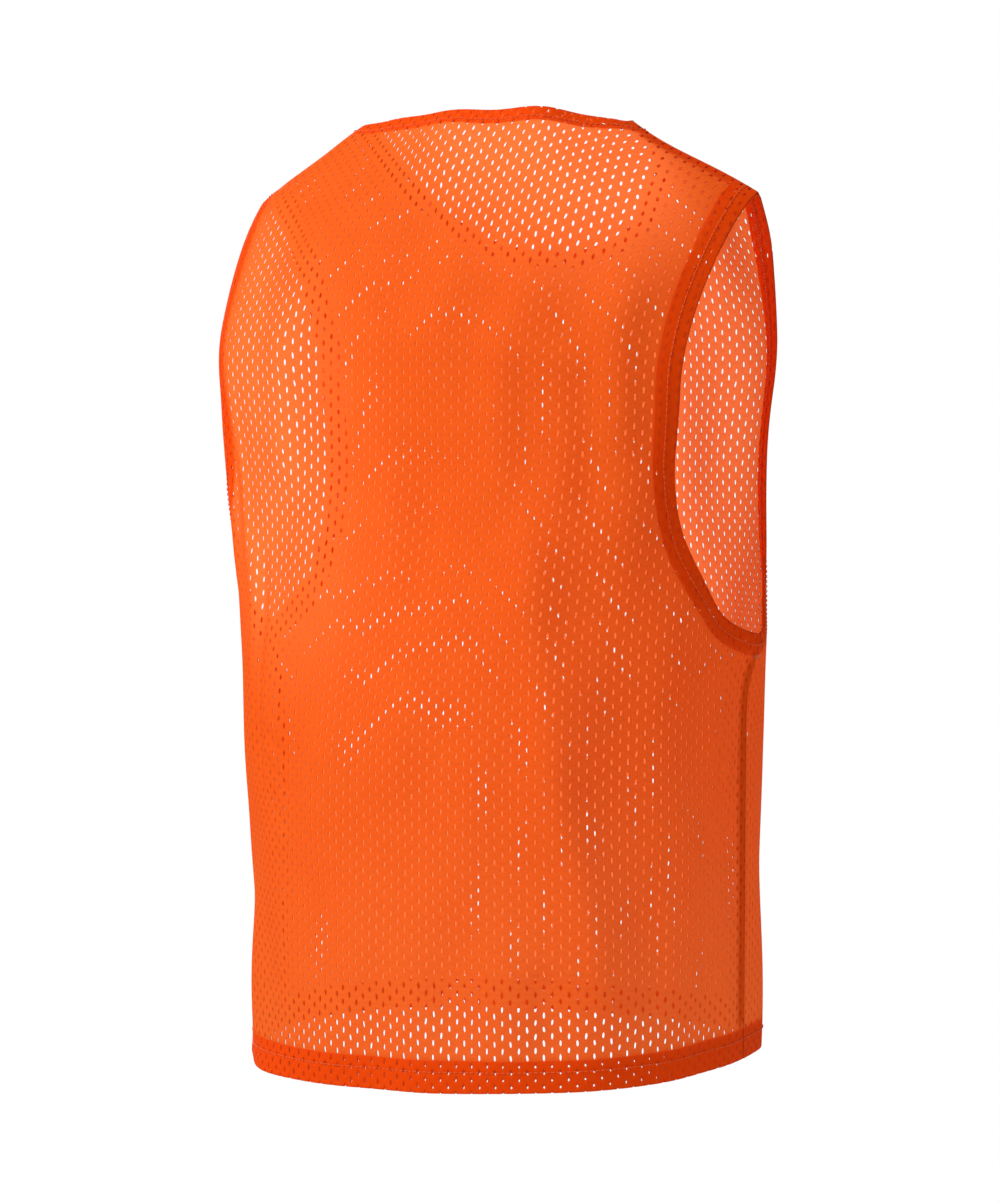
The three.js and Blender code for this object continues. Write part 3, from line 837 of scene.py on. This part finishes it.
# ------------------------------------------------------------------------------------------- Finishes
class Surface:
    """A material that is put together from nodes."""

    def __init__(self, name: str) -> None:
        """Starts an empty material."""
        self.material = bpy.data.materials.new(name)
        self.material.use_nodes = True
        self.tree = self.material.node_tree
        self.tree.nodes.clear()

    def node(self, kind: str, inputs: dict | None = None, output: Any = 0, **attributes: Any) -> Socket:
        """Adds a node and returns one of its outputs."""
        return add_node(self.tree, kind, inputs, **attributes).outputs[output]

    def math(self, operation: str, *values: Value, clamp: bool = False) -> Socket:
        """Does one sum."""
        return self.node("ShaderNodeMath", dict(enumerate(values)), operation=operation, use_clamp=clamp)

    def remap(self, value: Socket, source: tuple[float, float], target: tuple[float, float]) -> Socket:
        """Maps the source range on to the target range, with its ends held."""
        ends = zip(("From Min", "From Max", "To Min", "To Max"), source + target)
        return self.node("ShaderNodeMapRange", {"Value": value} | dict(ends))

    def noise(self, scale: float, detail: float, place: Socket | None = None) -> Socket:
        """Cloudy noise at a place, or over the whole object."""
        inputs = {"Scale": scale, "Detail": detail} | ({"Vector": place} if place else {})
        return self.node("ShaderNodeTexNoise", inputs, "Fac")

    def blend(self, amount: Socket, first: Value, second: Value) -> Socket:
        """Mixes two colours."""
        return self.node("ShaderNodeMix", {0: amount, 6: first, 7: second}, 2, data_type="RGBA")

    def bump(self, height: Socket, strength: float, depth: float) -> Socket:
        """Relief of the given depth in millimetres."""
        return self.node("ShaderNodeBump", {"Strength": strength, "Distance": depth * MM, "Height": height})

    def principled(self, colour: Value, settings: dict[str, Value]) -> Socket:
        """The shader that gives back the light."""
        return self.node("ShaderNodeBsdfPrincipled", {"Base Color": colour} | settings)

    def finish(self, shader: Socket) -> bpy.types.Material:
        """Ends the material with its shader."""
        add_node(self.tree, "ShaderNodeOutputMaterial", {"Surface": shader})
        return self.material


@dataclass(frozen=True)
class EyeletKnit:
    """Warp-knitted polyester eyelet mesh: matt, and it glows where light comes through it.

    The fine loops are far below what a view of the whole vest can show, so the courses are drawn
    at half the eyelets' height, the spacing at which the eye still reads them.
    """

    name: str
    yarn: str = "#FF6C12"
    # painted shade in the hollows at the eyelet rims and along the courses, and the darker tone of the
    # random blotches
    valley: str = "#EC4C00"
    deep: str = "#FF4C00"  # painted shade where a second ply lies behind and stops the light that would come through
    glow: str = "#FF9256"
    translucency: float = 0.4
    doubled_translucency: float = 0.22
    roughness: float = 0.75
    wales_per_eyelet: int = 8
    grain_scale: float = 0.55  # per mm
    blotch_scale: float = 0.03

    def build(self, lattice: EyeletLattice) -> bpy.types.Material:
        """Makes the material on the lattice of the eyelets."""
        surface = Surface(self.name)
        uv = surface.node("ShaderNodeUVMap", output="UV", uv_map=UV_MAP)
        span, shift = (UV_SPAN, UV_SPAN, 0), (-UV_SPAN / 2, -UV_FLOOR, 0)
        cloth = surface.node("ShaderNodeVectorMath", {0: uv, 1: span, 2: shift}, operation="MULTIPLY_ADD")
        p, q = (surface.node("ShaderNodeSeparateXYZ", {0: cloth}, axis) for axis in "XY")

        def wave(place: Socket, period: float, bend: Value = 0.0) -> Socket:
            """A cosine of the given period in mm."""
            phase = surface.math("MULTIPLY", place, 2 * math.pi / period)
            return surface.math("COSINE", surface.math("ADD", phase, bend))

        columns = wave(p, lattice.across)
        swell = surface.math("MULTIPLY", columns, wave(q, lattice.up))
        courses = wave(q, lattice.up / 2, columns)
        wales = wave(p, lattice.across / self.wales_per_eyelet)
        # Painted shade: darker round each eyelet (rim) and along the courses (broken), where the relief
        # below dips; the blotches (uneven) are random tone of the yarn.
        rim = surface.remap(swell, (0.45, 1.0), (0.0, 0.45))
        line = surface.remap(courses, (0.35, 1.0), (0.0, 0.55))
        broken = surface.math("MULTIPLY", line, surface.noise(self.grain_scale, 3.0, cloth))
        uneven = surface.remap(surface.noise(self.blotch_scale, 2.0, cloth), (0.3, 0.7), (0.0, 0.16))
        amount = surface.math("ADD", surface.math("ADD", rim, broken), uneven, clamp=True)
        colour = surface.blend(amount, srgb(self.yarn), srgb(self.valley))
        # Painted shade where a hem or an allowance lies behind the cloth, darkest in a line along the edge
        # of that ply; the translucency drops there too.
        double = surface.node("ShaderNodeAttribute", output="Fac", attribute_name=DOUBLED)
        edge = surface.math("SINE", surface.math("MULTIPLY", double, math.pi))
        painted_ply_shade = surface.math("MULTIPLY_ADD", double, 0.8, edge, clamp=True)
        colour = surface.blend(painted_ply_shade, colour, srgb(self.deep))
        clear = surface.remap(double, (0.0, 1.0), (self.translucency, self.doubled_translucency))
        relief = surface.math("MULTIPLY", swell, -0.5)
        relief = surface.math("MULTIPLY_ADD", wales, 0.16, relief)
        relief = surface.math("MULTIPLY_ADD", broken, -0.3, relief)
        bump = surface.bump(relief, 0.5, 0.25)
        settings = {"Normal": bump, "Roughness": self.roughness, "Specular IOR Level": 0.06}
        sheen = {"Sheen Weight": 0.02, "Sheen Roughness": 0.45, "Sheen Tint": srgb("#FFC9A0")}
        front = surface.principled(colour, settings | sheen)
        through = surface.node("ShaderNodeBsdfTranslucent", {"Color": srgb(self.glow), "Normal": bump})
        return surface.finish(surface.node("ShaderNodeMixShader", {0: clear, 1: front, 2: through}))


@dataclass(frozen=True)
class SewingThread:
    """Spun polyester sewing thread: a little brighter than the cloth, with the plies' uneven tone."""

    name: str
    colour: str
    shade: str
    roughness: float = 0.6
    ply: float = 0.7  # mm

    def build(self) -> bpy.types.Material:
        """Makes the material."""
        surface = Surface(self.name)
        place = surface.node("ShaderNodeTexCoord", output="Object")
        fibre = surface.noise(1 / (self.ply * MM), 2.0, place)
        colour = surface.blend(fibre, srgb(self.colour), srgb(self.shade))
        settings = {"Roughness": self.roughness, "Specular IOR Level": 0.4, "Sheen Weight": 0.2}
        settings["Normal"] = surface.bump(fibre, 0.4, 0.1)
        return surface.finish(surface.principled(colour, settings))


@dataclass(frozen=True)
class SatinTape:
    """Woven polyester satin tape: smooth and white, with a soft gleam along its warp."""

    name: str
    colour: str = "#F6F3EC"
    shade: str = "#E4DFD4"
    warp: float = 0.5  # mm; drawn twice as coarse as the real warp so that it shows
    wave_per_unit: float = 20.0  # waves that the texture draws per unit of its scale

    def build(self) -> bpy.types.Material:
        """Makes the material."""
        surface = Surface(self.name)
        scale = 1 / (self.warp * MM) / self.wave_per_unit
        place = surface.node("ShaderNodeTexCoord", output="Object")
        inputs = {"Scale": scale, "Distortion": 0.6, "Detail": 1.0, "Vector": place}
        ribs = surface.node("ShaderNodeTexWave", inputs, "Fac", bands_direction="Z")
        colour = surface.blend(ribs, srgb(self.colour), srgb(self.shade))
        settings = {"Roughness": 0.42, "Specular IOR Level": 0.5, "Sheen Weight": 0.3, "Anisotropic": 0.4}
        settings["Normal"] = surface.bump(ribs, 0.3, 0.08)
        return surface.finish(surface.principled(colour, settings))


# --------------------------------------------------------------------------------------- Sub-assemblies
NOUNS = {
    "orange_mesh": "cloth",
    "doubled_mesh": "cloth",
    "orange_thread": "thread",
    "label_satin": "tape",
    "label_thread": "thread",
}


def sewn(piece: bpy.types.Object, slot: str, *nodes: str, body: str = "vest") -> bpy.types.Object:
    """Names the piece after its first node and its finish's noun, hangs it on its body and hides its CAD
    nodes.
    """
    piece.name = f"{nodes[0]}_{NOUNS[slot]}"
    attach(piece, body)
    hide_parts(*nodes)
    return piece


@dataclass
class Fabric:
    """The finishes that all sub-assemblies share."""

    lattice: EyeletLattice
    mesh: bpy.types.Material
    # the same knit painted darker, as shade, for the plies turned in behind the panels
    doubled: bpy.types.Material
    thread: bpy.types.Material

    def stitched(self, name: str, mesh: tuple[Array, list[list[int]]]) -> bpy.types.Object:
        """Makes a piece of sewing thread from its points and faces."""
        return sewn(make_piece(name, *mesh, self.thread), "orange_thread", name)


@dataclass
class MeshPanel:
    """One of the vest's two panels, cut from eyelet mesh."""

    name: str
    panel: WornPanel
    fabric: Fabric
    edges: dict[str, ClothEdge] = field(default_factory=dict)
    front_phase: float = 0.37  # shift of the front's eyelet rows against those of the back
    fade: float = 0.9  # width over which the painted shade and the translucency change at the edge of a second ply

    def __post_init__(self) -> None:
        """Draws the edges of the cut."""
        panel, s = self.panel, self.panel.sizes
        t = np.linspace(0, 1, 400)
        flip = np.array([-1.0, 1.0])
        armhole, half_neck = panel.armhole_edge(t), panel.neck_edge(t)
        shoulder_p = mix(s.shoulder_half_width, s.neck_half_width, t)
        shoulder = np.stack([shoulder_p, panel.ridge(shoulder_p)], axis=1)
        side = np.array([[panel.half_width, 0.0], [panel.half_width, panel.underarm]])
        lines = {
            "bottom": (np.array([side[0] * flip, side[0]]), False),
            "side_left": (side, False),
            "armhole_left": (armhole, True),
            "shoulder_left": (shoulder, False),
            "neck": (np.vstack([half_neck[::-1], (half_neck * flip)[1:]]), True),
            "shoulder_right": ((shoulder * flip)[::-1], False),
            "armhole_right": ((armhole * flip)[::-1], True),
            "side_right": ((side * flip)[::-1], False),
        }
        self.edges = {name: ClothEdge(panel, line, follow) for name, (line, follow) in lines.items()}

    def eyelets(self) -> Array:
        """The eyelets of the uncut cloth."""
        phase = 0.0 if self.panel.facing is Facing.BACK else self.front_phase
        top = float(self.panel.heights[-1].max())
        return self.fabric.lattice.eyelets(self.panel.half_width + 30, -30, top + 30, phase)

    def outline(self) -> Array:
        """Corners of the cut, once round."""
        return np.vstack([e.points[:-1] for e in self.edges.values()])

    def flat_size(self) -> tuple[float, float, float]:
        """Width, length and area of the cut before it is hemmed, in metres."""
        s, outline = self.panel.sizes, self.outline()
        x, y = outline.T
        area = abs(float(np.dot(x, np.roll(y, -1)) - np.dot(y, np.roll(x, -1)))) / 2
        hems = self.edges["bottom"].length * s.bottom_hem + self.edges["neck"].length * s.neck_hem
        hems += 2 * self.edges["armhole_left"].length * s.armhole_hem
        length = float(y.max()) + s.bottom_hem
        return 2 * (self.panel.half_width + s.seam_allowance) * MM, length * MM, (area + hems) * MM * MM

    def turned_depths(self) -> dict[str, float]:
        """How deep the cloth behind each edge of the cut is."""
        s = self.panel.sizes
        depths = {"bottom": s.bottom_hem, "neck": s.neck_hem}
        depths |= {"armhole_left": s.armhole_hem, "armhole_right": s.armhole_hem}
        if self.panel.facing is Facing.BACK:
            depths |= {name: s.seam_allowance for name in self.edges if name.startswith("shoulder")}
        return depths

    def doubled(self, flat: Array) -> Array:
        """How far each place of the cut lies over a second ply."""
        most = np.zeros(len(flat))
        for name, depth in self.turned_depths().items():
            away = nearest(self.edges[name].points, flat)[1]
            most = np.maximum(most, smooth((depth - away) / self.fade + 0.5))
        return most

    def build(self) -> bpy.types.Object:
        """Makes the panel."""
        outline, rows = self.outline(), []
        for name, depth in self.turned_depths().items():
            edge = self.edges[name]
            rows += [edge.inside(edge.along, depth + shift) for shift in (-0.8, 0.0, 0.8)]
        loose = np.vstack(rows)
        flat, faces = cut_cloth(outline, self.eyelets(), loose[within(loose, outline)])
        p, q = flat.T
        uv = np.stack([(p + UV_SPAN / 2) / UV_SPAN, (q + UV_FLOOR) / UV_SPAN], axis=1)
        ply = Ply(self.panel.place(p, q), faces, self.panel.normal(p, q), uv, self.doubled(flat))
        piece = ply.piece(self.name, self.panel.sizes.cloth, self.fabric.mesh)
        return sewn(piece, "orange_mesh", self.name)


def turned_ply(
    edge: ClothEdge,
    eyelets: Array,
    span: tuple[float, float],
    uv_row: float,
    layer: float = 0.0,
    ends: tuple[float, float] = (0, 0),
) -> Ply:
    """Cuts a strip of turned cloth and lays it behind its panel.

    Args:
        edge: The edge that it is turned over.
        eyelets: Eyelets of the flat cloth.
        span: First and last depth; the first is below zero where the turn is part of the strip.
        uv_row: Where the strip's zero depth lies in its UV map, in millimetres.
        layer: Extra distance behind the panel.
        ends: Lengths left out at the start and the end of the edge.

    Returns:
        The ply.
    """
    start, depth = span
    along = edge.along[(edge.along >= ends[0]) & (edge.along <= edge.length - ends[1])]
    low, high = (np.stack([along, np.full(len(along), d)], axis=1) for d in span)
    rows = np.linspace(start, depth, max(3, round((depth - start) / edge.SPACING)))[1:-1]
    right = np.stack([np.full(len(rows), along[-1]), rows], axis=1)
    left = np.stack([np.full(len(rows), along[0]), rows[::-1]], axis=1)
    holes = edge.mirror(eyelets, depth + 4, edge.panel.sizes.fold_radius)
    grid = None
    if start < 0:  # extra rows, so that the turn comes out round
        depths = [start * share for share in (0.8, 0.6, 0.4, 0.2, 0.0)]
        grid = np.vstack([np.stack([along[1:-1], np.full(len(along) - 2, d)], axis=1) for d in depths])
    flat, faces = cut_cloth(np.vstack([low, right, high[::-1], left]), holes, grid)
    places, normals = edge.turned(flat[:, 0], flat[:, 1], layer)
    return Ply(places, faces, normals, (flat + np.array([0.0, uv_row])) / UV_SPAN)


@dataclass
class TurnedHem:
    """Cloth that is turned in over one edge of a panel, once, and lies behind it."""

    name: str
    source: MeshPanel
    edge: str
    depth: float

    def build(self) -> bpy.types.Object:
        """Makes the turn and the ply behind the panel."""
        edge, s = self.source.edges[self.edge], self.source.panel.sizes
        start = -math.pi * s.fold_radius
        ply = turned_ply(edge, self.source.eyelets(), (start, self.depth), -start + 1.0)
        return sewn(ply.piece(self.name, s.cloth, self.source.fabric.doubled), "doubled_mesh", self.name)


@dataclass
class Seam:
    """A sewn seam with both allowances pressed towards the back, and its overlocked raw edge."""

    name: str
    overlock_name: str
    back: MeshPanel
    front: MeshPanel
    edge: str
    ends: tuple[float, float]
    overlock: Overlock = Overlock()
    ply_step: float = 0.7  # from one allowance to the other
    start: float = 0.3  # where the allowances begin, inside the seam line
    uv_step: float = 12.0

    def build(self) -> list[bpy.types.Object]:
        """Makes the two plies and the thread that wraps their edge."""
        edge, panel = self.back.edges[self.edge], self.back.panel
        allowance = panel.sizes.seam_allowance
        span, plies = (self.start, allowance), []
        for k, source in enumerate((self.back, self.front)):
            uv_row, layer = self.uv_step * k, self.ply_step * k
            plies.append(turned_ply(edge, source.eyelets(), span, uv_row, layer, self.ends))
        points, faces = join([(ply.places, ply.faces.tolist()) for ply in plies])
        uv, normals = np.vstack([ply.uv for ply in plies]), np.vstack([ply.normals for ply in plies])
        piece = make_piece(self.name, points, faces, self.back.fabric.doubled, uv, normals)
        along = np.arange(self.ends[0], edge.length - self.ends[1], 1.5)
        p, q = edge.inside(along, allowance - self.overlock.wide * 0.6).T
        depth = 2 * panel.sizes.fold_radius + 0.4
        loops = self.overlock.geometry(Line(panel.place(p, q, -depth), panel.normal(p, q)))
        return [sewn(piece, "doubled_mesh", self.name), self.back.fabric.stitched(self.overlock_name, loops)]


@dataclass
class StitchRow:
    """One row of stitches that runs round an opening of the vest."""

    name: str
    back: MeshPanel
    front: MeshPanel
    edge: str
    depth: float
    stitch: Lockstitch = Lockstitch()

    def line(self) -> Line:
        """The row over the back and then the front."""
        places, normals = [], []
        for source, order in ((self.back, 1), (self.front, -1)):
            edge = source.edges[self.edge]
            p, q = edge.inside(edge.along[::order], self.depth).T
            places.append(source.panel.place(p, q, 0.1))
            normals.append(source.panel.normal(p, q))
        return Line(np.vstack(places), np.vstack(normals))

    def build(self) -> bpy.types.Object:
        """Makes the row."""
        return self.back.fabric.stitched(self.name, self.stitch.geometry(self.line()))


@dataclass
class UnderarmTack:
    """A dense bar of zigzag stitches that locks the side seam at the foot of the armhole."""

    name: str
    back: MeshPanel
    front: MeshPanel
    hand: Hand
    half_width: float = 4.2
    height: float = 2.4
    passes: int = 9
    radius: float = 0.34
    seam_reach: float = 0.4  # how near to the seam line the thread passes
    lift: float = 0.45

    def build(self) -> bpy.types.Object:
        """Makes the bar across the seam."""
        foot = self.back.panel.underarm - self.back.panel.sizes.armhole_hem - self.height
        rows, normals = [], []
        for k, height in enumerate(foot + np.linspace(0, self.height, self.passes)):
            first, second = (self.back, self.front) if k % 2 else (self.front, self.back)
            reaches = ((first, self.half_width), (first, self.seam_reach), (second, self.half_width))
            for source, reach in reaches:
                p, q = np.array([self.hand.value * (source.panel.half_width - reach)]), np.array([height])
                rows.append(source.panel.place(p, q, self.lift)[0])
                normals.append(source.panel.normal(p, q)[0])
        bar = tubes(np.array(rows)[None], np.array(normals)[None], np.full(len(rows), self.radius))
        return self.back.fabric.stitched(self.name, bar)


@dataclass
class SatinLabel:
    """A blank tape label that is sewn into the side seam by one edge and curls a little."""

    name: str
    width: float
    material: bpy.types.Material
    lean: float = math.radians(120)  # direction from its sewn edge, about Z
    root_gap: float = 1.2
    corner: float = 2.0
    thickness: float = 0.3
    curl: float = 2.2
    rows: int = 40
    columns: int = 24

    def build(self, root: Vector) -> bpy.types.Object:
        """Makes the label.

        Args:
            root: A point of the line along which it is sewn in, in metres.

        Returns:
            The label, on its own body.
        """
        bottom, top = (corner.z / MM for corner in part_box(self.name))
        v, u = np.linspace(0, 1, self.rows + 1), np.linspace(0, 1, self.columns + 1)
        from_end = np.minimum(v, 1 - v) * (top - bottom)
        short = np.maximum(0, self.corner - from_end)
        nick = self.corner - np.sqrt(np.maximum(0, self.corner**2 - short**2))
        across = self.root_gap + u[None] * (self.width - nick)[:, None]
        lift = self.curl * (across / self.width) ** 2 * (0.6 + 0.4 * np.cos(2.2 * math.pi * v))[:, None]
        along = np.array([math.cos(self.lean), math.sin(self.lean), 0])
        normal = np.array([-math.sin(self.lean), math.cos(self.lean), 0])
        middle = np.array([root.x / MM, root.y / MM, 0]) + across[..., None] * along
        middle[..., 2] += (bottom + v * (top - bottom))[:, None]
        half = self.thickness / 2
        points = np.vstack([(middle + (lift + o)[..., None] * normal).reshape(-1, 3) for o in (half, -half)])
        index = np.arange(len(points)).reshape(2, len(v), len(u))
        faces = []
        for a, flip in zip(index, (1, -1)):
            quads = np.stack([a[:-1, :-1], a[:-1, 1:], a[1:, 1:], a[1:, :-1]], axis=-1).reshape(-1, 4)
            faces += quads[:, ::flip].tolist()
        sides = [index[:, 0, :], index[:, 1:, -1], index[:, -1, -2::-1], index[:, -2:0:-1, 0]]
        rim = np.concatenate(sides, axis=1)
        following = np.roll(rim, -1, axis=1)
        faces += np.stack([rim[0], rim[1], following[1], following[0]], axis=1).tolist()
        piece = make_piece(self.name, points, faces, self.material)
        return sewn(piece, "label_satin", self.name, body=self.name)


# ------------------------------------------------------------------------------------------- The studio
@dataclass(frozen=True)
class Lamp:
    """A large round soft box that faces the middle of the vest."""

    name: str
    power: float  # watts
    width: float  # metres
    place: tuple[float, float, float]  # metres
    aim: tuple[float, float, float] = (0.0, 0.0, -0.35)

    def build(self) -> None:
        """Makes the light."""
        data = bpy.data.lights.new(self.name, "AREA")
        data.shape = "DISK"
        data.size = self.width
        data.energy = self.power
        lamp = bpy.data.objects.new(self.name, data)
        lamp.location = self.place
        lamp.rotation_euler = (Vector(self.place) - Vector(self.aim)).to_track_quat("Z", "Y").to_euler()
        bpy.context.scene.collection.objects.link(lamp)


@dataclass(frozen=True)
class Studio:
    """Camera, pale floor and soft light."""

    target: tuple[float, float, float] = (1.96, 0.0, -355.2)
    azimuth: float = 210.2  # degrees
    elevation: float = 4.26
    distance: float = 2249.0
    lens: float = 89.6
    floor_height: float = -1250.0
    floor_radius: float = 1500.0
    sky: float = 0.41
    sky_tint: str = "#FFF0DE"
    lamps: tuple[Lamp, ...] = (
        Lamp("key", 37.0, 1.2, (1.0, 1.55, 1.0)),
        Lamp("glow_from_the_front", 64.0, 1.0, (1.44, -1.87, 0.0)),
    )

    def build_camera(self) -> None:
        """Makes the camera, which looks at the vest from behind its right side."""
        a, e = math.radians(self.azimuth), math.radians(self.elevation)
        back = Vector((math.sin(a) * math.cos(e), -math.cos(a) * math.cos(e), math.sin(e)))
        data = bpy.data.cameras.new("camera")
        data.lens = self.lens
        camera = bpy.data.objects.new("camera", data)
        camera.location = (Vector(self.target) + back * self.distance) * MM
        camera.rotation_euler = (-back).to_track_quat("-Z", "Y").to_euler()
        bpy.context.scene.collection.objects.link(camera)
        bpy.context.scene.camera = camera

    def build_light(self) -> None:
        """Makes the white surroundings and the soft lights."""
        scene = bpy.context.scene
        scene.view_settings.view_transform = "Standard"
        world = bpy.data.worlds.new("white_surroundings")
        scene.world = world
        world.use_nodes = True
        tree = world.node_tree
        tree.nodes.clear()
        seen = add_node(tree, "ShaderNodeLightPath").outputs["Is Camera Ray"]
        light = add_node(tree, "ShaderNodeBackground", {"Color": srgb(self.sky_tint), "Strength": self.sky})
        white = add_node(tree, "ShaderNodeBackground", {"Color": (1, 1, 1, 1), "Strength": 1.0})
        both = add_node(tree, "ShaderNodeMixShader", {0: seen, 1: light.outputs[0], 2: white.outputs[0]})
        add_node(tree, "ShaderNodeOutputWorld", {"Surface": both.outputs[0]})
        for lamp in self.lamps:
            lamp.build()

    def build_floor(self) -> None:
        """Makes a round, matt, nearly white floor well below the hem."""
        turn = np.linspace(0, 2 * math.pi, 129)[:-1]
        points = [(0.0, 0.0, self.floor_height)]
        for share, drop in ((0.5, 0.0), (0.97, 0.0), (1.0, -12.0)):
            r = share * self.floor_radius
            points += [(r * math.cos(t), r * math.sin(t), self.floor_height + drop) for t in turn]
        n = len(turn)
        faces = [[0, 1 + k, 1 + (k + 1) % n] for k in range(n)]
        for a in (1, 1 + n):
            faces += [[a + k, a + n + k, a + n + (k + 1) % n, a + (k + 1) % n] for k in range(n)]
        paint = Surface("matt_white_floor_paint")
        colour = paint.blend(paint.noise(40.0, 3.0), srgb("#FCFCFB"), srgb("#F6F6F5"))
        material = paint.finish(paint.principled(colour, {"Roughness": 0.9}))
        make_piece("floor", np.array(points), faces, material)


# ---------------------------------------------------------------------------------------------- The vest
BACK_FOLDS: tuple[Fold | Ripple, ...] = (
    Ripple(amplitude=1.2, seed=5),
    # soft upright folds below the shoulder blades
    Fold((107, 560), (112, 410), 15, 5.0),
    Fold((-69, 555), (-74, 395), 15, 4.6),
    Fold((-146, 590), (-157, 445), 14, 4.4),
    Fold((57, 560), (52, 405), 15, -4.4),
    Fold((-128, 530), (-139, 390), 13, -4.2),
    # the long fold down to the hem, and the edge where the cloth turns towards the right side
    Fold((-90, 440), (-174, 15), 14, 3.0, bow=-6),
    Fold((-90, 480), (-176, -30), 44, 8.0, bow=-6),
    Fold((-208, 385), (-214, 20), 24, 6.0),
    # narrow folds along the left side
    Fold((137, 400), (131, 175), 6, -2.6, bow=3),
    Fold((150, 395), (145, 200), 7, 2.2, bow=3),
    Fold((166, 520), (150, 350), 7, 2.6, bow=-4),
    Fold((190, 500), (176, 330), 8, 2.4, bow=-4),
    # crumpled cloth at the waist
    Fold((118, 262), (92, 236), 5, 1.3),
    Fold((116, 240), (90, 212), 5, 1.2),
    Fold((114, 216), (92, 188), 5, 1.3),
    Fold((112, 190), (94, 162), 5, 1.1),
    # drag lines from the right underarm
    Fold((-285, 290), (-262, 205), 7, 2.6, bow=4),
    Fold((-268, 300), (-240, 230), 8, 2.2, bow=3),
    Fold((-288, 230), (-272, 150), 7, -2.2, bow=-3),
    # dents above the hem
    Fold((-118, 92), (-124, 18), 14, -2.6),
    Fold((-186, 130), (-198, 40), 10, -2.6),
)
SLANT = 1.15  # longer clearance at the neck, because its edge meets the shoulder seam at a slant
FRONT_FOLDS: tuple[Fold | Ripple, ...] = (
    Ripple(amplitude=1.8, seed=11),
    Fold((-95, 470), (-120, 120), 20, 3.0, bow=8),
    Fold((80, 430), (115, 60), 22, 3.4, bow=-8),
    Fold((0, 380), (-10, 40), 24, -2.4, bow=6),
)


@dataclass
class Vest:
    """The whole vest."""

    sizes: VestSizes
    lattice: EyeletLattice = EyeletLattice()

    def build(self) -> None:
        """Makes every piece in the order in which the vest is sewn."""
        # The plies turned in behind the panels are the same knit, painted darker as shade, with less light
        # through them.
        shaded_tones = {"yarn": "#F4560A", "valley": "#D84002", "glow": "#FF8A4E", "translucency": 0.3}
        turned = EyeletKnit("polyester_eyelet_knit_turned", **shaded_tones)
        fabric = Fabric(
            lattice=self.lattice,
            mesh=EyeletKnit("polyester_eyelet_knit").build(self.lattice),
            doubled=turned.build(self.lattice),
            thread=SewingThread("spun_polyester_thread_orange", "#FF7A2E", "#E4520F").build(),
        )
        back = MeshPanel("back_panel", WornPanel(self.sizes, Facing.BACK, BACK_FOLDS), fabric)
        front = MeshPanel("front_panel", WornPanel(self.sizes, Facing.FRONT, FRONT_FOLDS), fabric)
        pieces = [back.build(), front.build()]
        hems = [self.build_hems(source) for source in (back, front)]
        for source, piece, sewn_on in zip((back, front), pieces, hems):
            width, length, area = source.flat_size()
        self.build_seams(back, front)
        self.build_stitching(back, front)
        self.build_labels()

    def build_hems(self, source: MeshPanel) -> list[bpy.types.Object]:
        """Turns in the bottom, the neck and both armholes of one panel."""
        s, side = self.sizes, source.panel.facing.name.lower()
        hems = [("bottom_hem", "", s.bottom_hem), ("neck_hem", "", s.neck_hem)]
        hems += [("armhole_hem", f"_{hand.name.lower()}", s.armhole_hem) for hand in Hand]
        return [
            TurnedHem(f"{hem}_{side}{hand}", source, hem.removesuffix("_hem") + hand, depth).build()
            for hem, hand, depth in hems
        ]

    def build_seams(self, back: MeshPanel, front: MeshPanel) -> None:
        """Sews the side and shoulder seams and tacks the underarms."""
        s = self.sizes
        foot, head = s.bottom_hem + s.hem_clearance, s.armhole_hem + s.hem_clearance
        neck_end = (s.neck_hem + s.hem_clearance) * SLANT
        for hand in Hand:
            name = hand.name.lower()
            for seam, ends in (("side", (foot, head)), ("shoulder", (head, neck_end))):
                edge = f"{seam}_{name}"
                in_order = ends[:: hand.value]
                Seam(f"{seam}_seam_{name}", f"{seam}_overlock_{name}", back, front, edge, in_order).build()
            UnderarmTack(f"underarm_tack_{name}", back, front, hand).build()

    def build_stitching(self, back: MeshPanel, front: MeshPanel) -> None:
        """Sews down the hems."""
        s = self.sizes
        StitchRow("bottom_stitching", back, front, "bottom", s.bottom_stitch).build()
        StitchRow("neck_stitching", back, front, "neck", s.neck_stitch).build()
        for hand in ("left", "right"):
            row = f"armhole_stitching_{hand}"
            StitchRow(row, back, front, f"armhole_{hand}", s.armhole_stitch).build()

    def build_labels(self) -> None:
        """Sews the two blank labels into the left side seam."""
        tape = SatinTape("woven_satin_tape").build()
        thread = SewingThread("spun_polyester_thread_white", "#F7F4EE", "#DAD5CB").build()
        joints = {joint["child"]: Vector(joint["pos_m"]) for joint in frame["joints"]}
        labels = (SatinLabel("care_label", 34.0, tape), SatinLabel("size_label", 22.0, tape, curl=1.2))
        for label in labels:
            piece = label.build(joints[label.name])
        root = joints["care_label"]
        foot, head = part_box("care_label")[0].z / MM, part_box("size_label")[1].z / MM
        z = np.linspace(foot + 0.5, head - 0.5, 60)
        places = np.stack([np.full(len(z), root.x / MM), np.full(len(z), root.y / MM), z], axis=1)
        normals = np.tile(np.array([-1.0, 0.0, 0.0]), (len(z), 1))
        stitch = Lockstitch(length=2.4, radius=0.28, zigzag=0.0, inside=0.6)
        points, faces = stitch.geometry(Line(places, normals))
        sewn(make_piece("label_stitching", points, faces, thread), "label_thread", "label_stitching")


def main() -> None:
    """Builds the studio and the vest."""
    logging.basicConfig(level=logging.INFO, format="%(name)s: %(message)s")
    studio = Studio()
    studio.build_camera()
    studio.build_light()
    Vest(VestSizes.from_frame()).build()
    studio.build_floor()


if __name__ == "__main__":
    main()
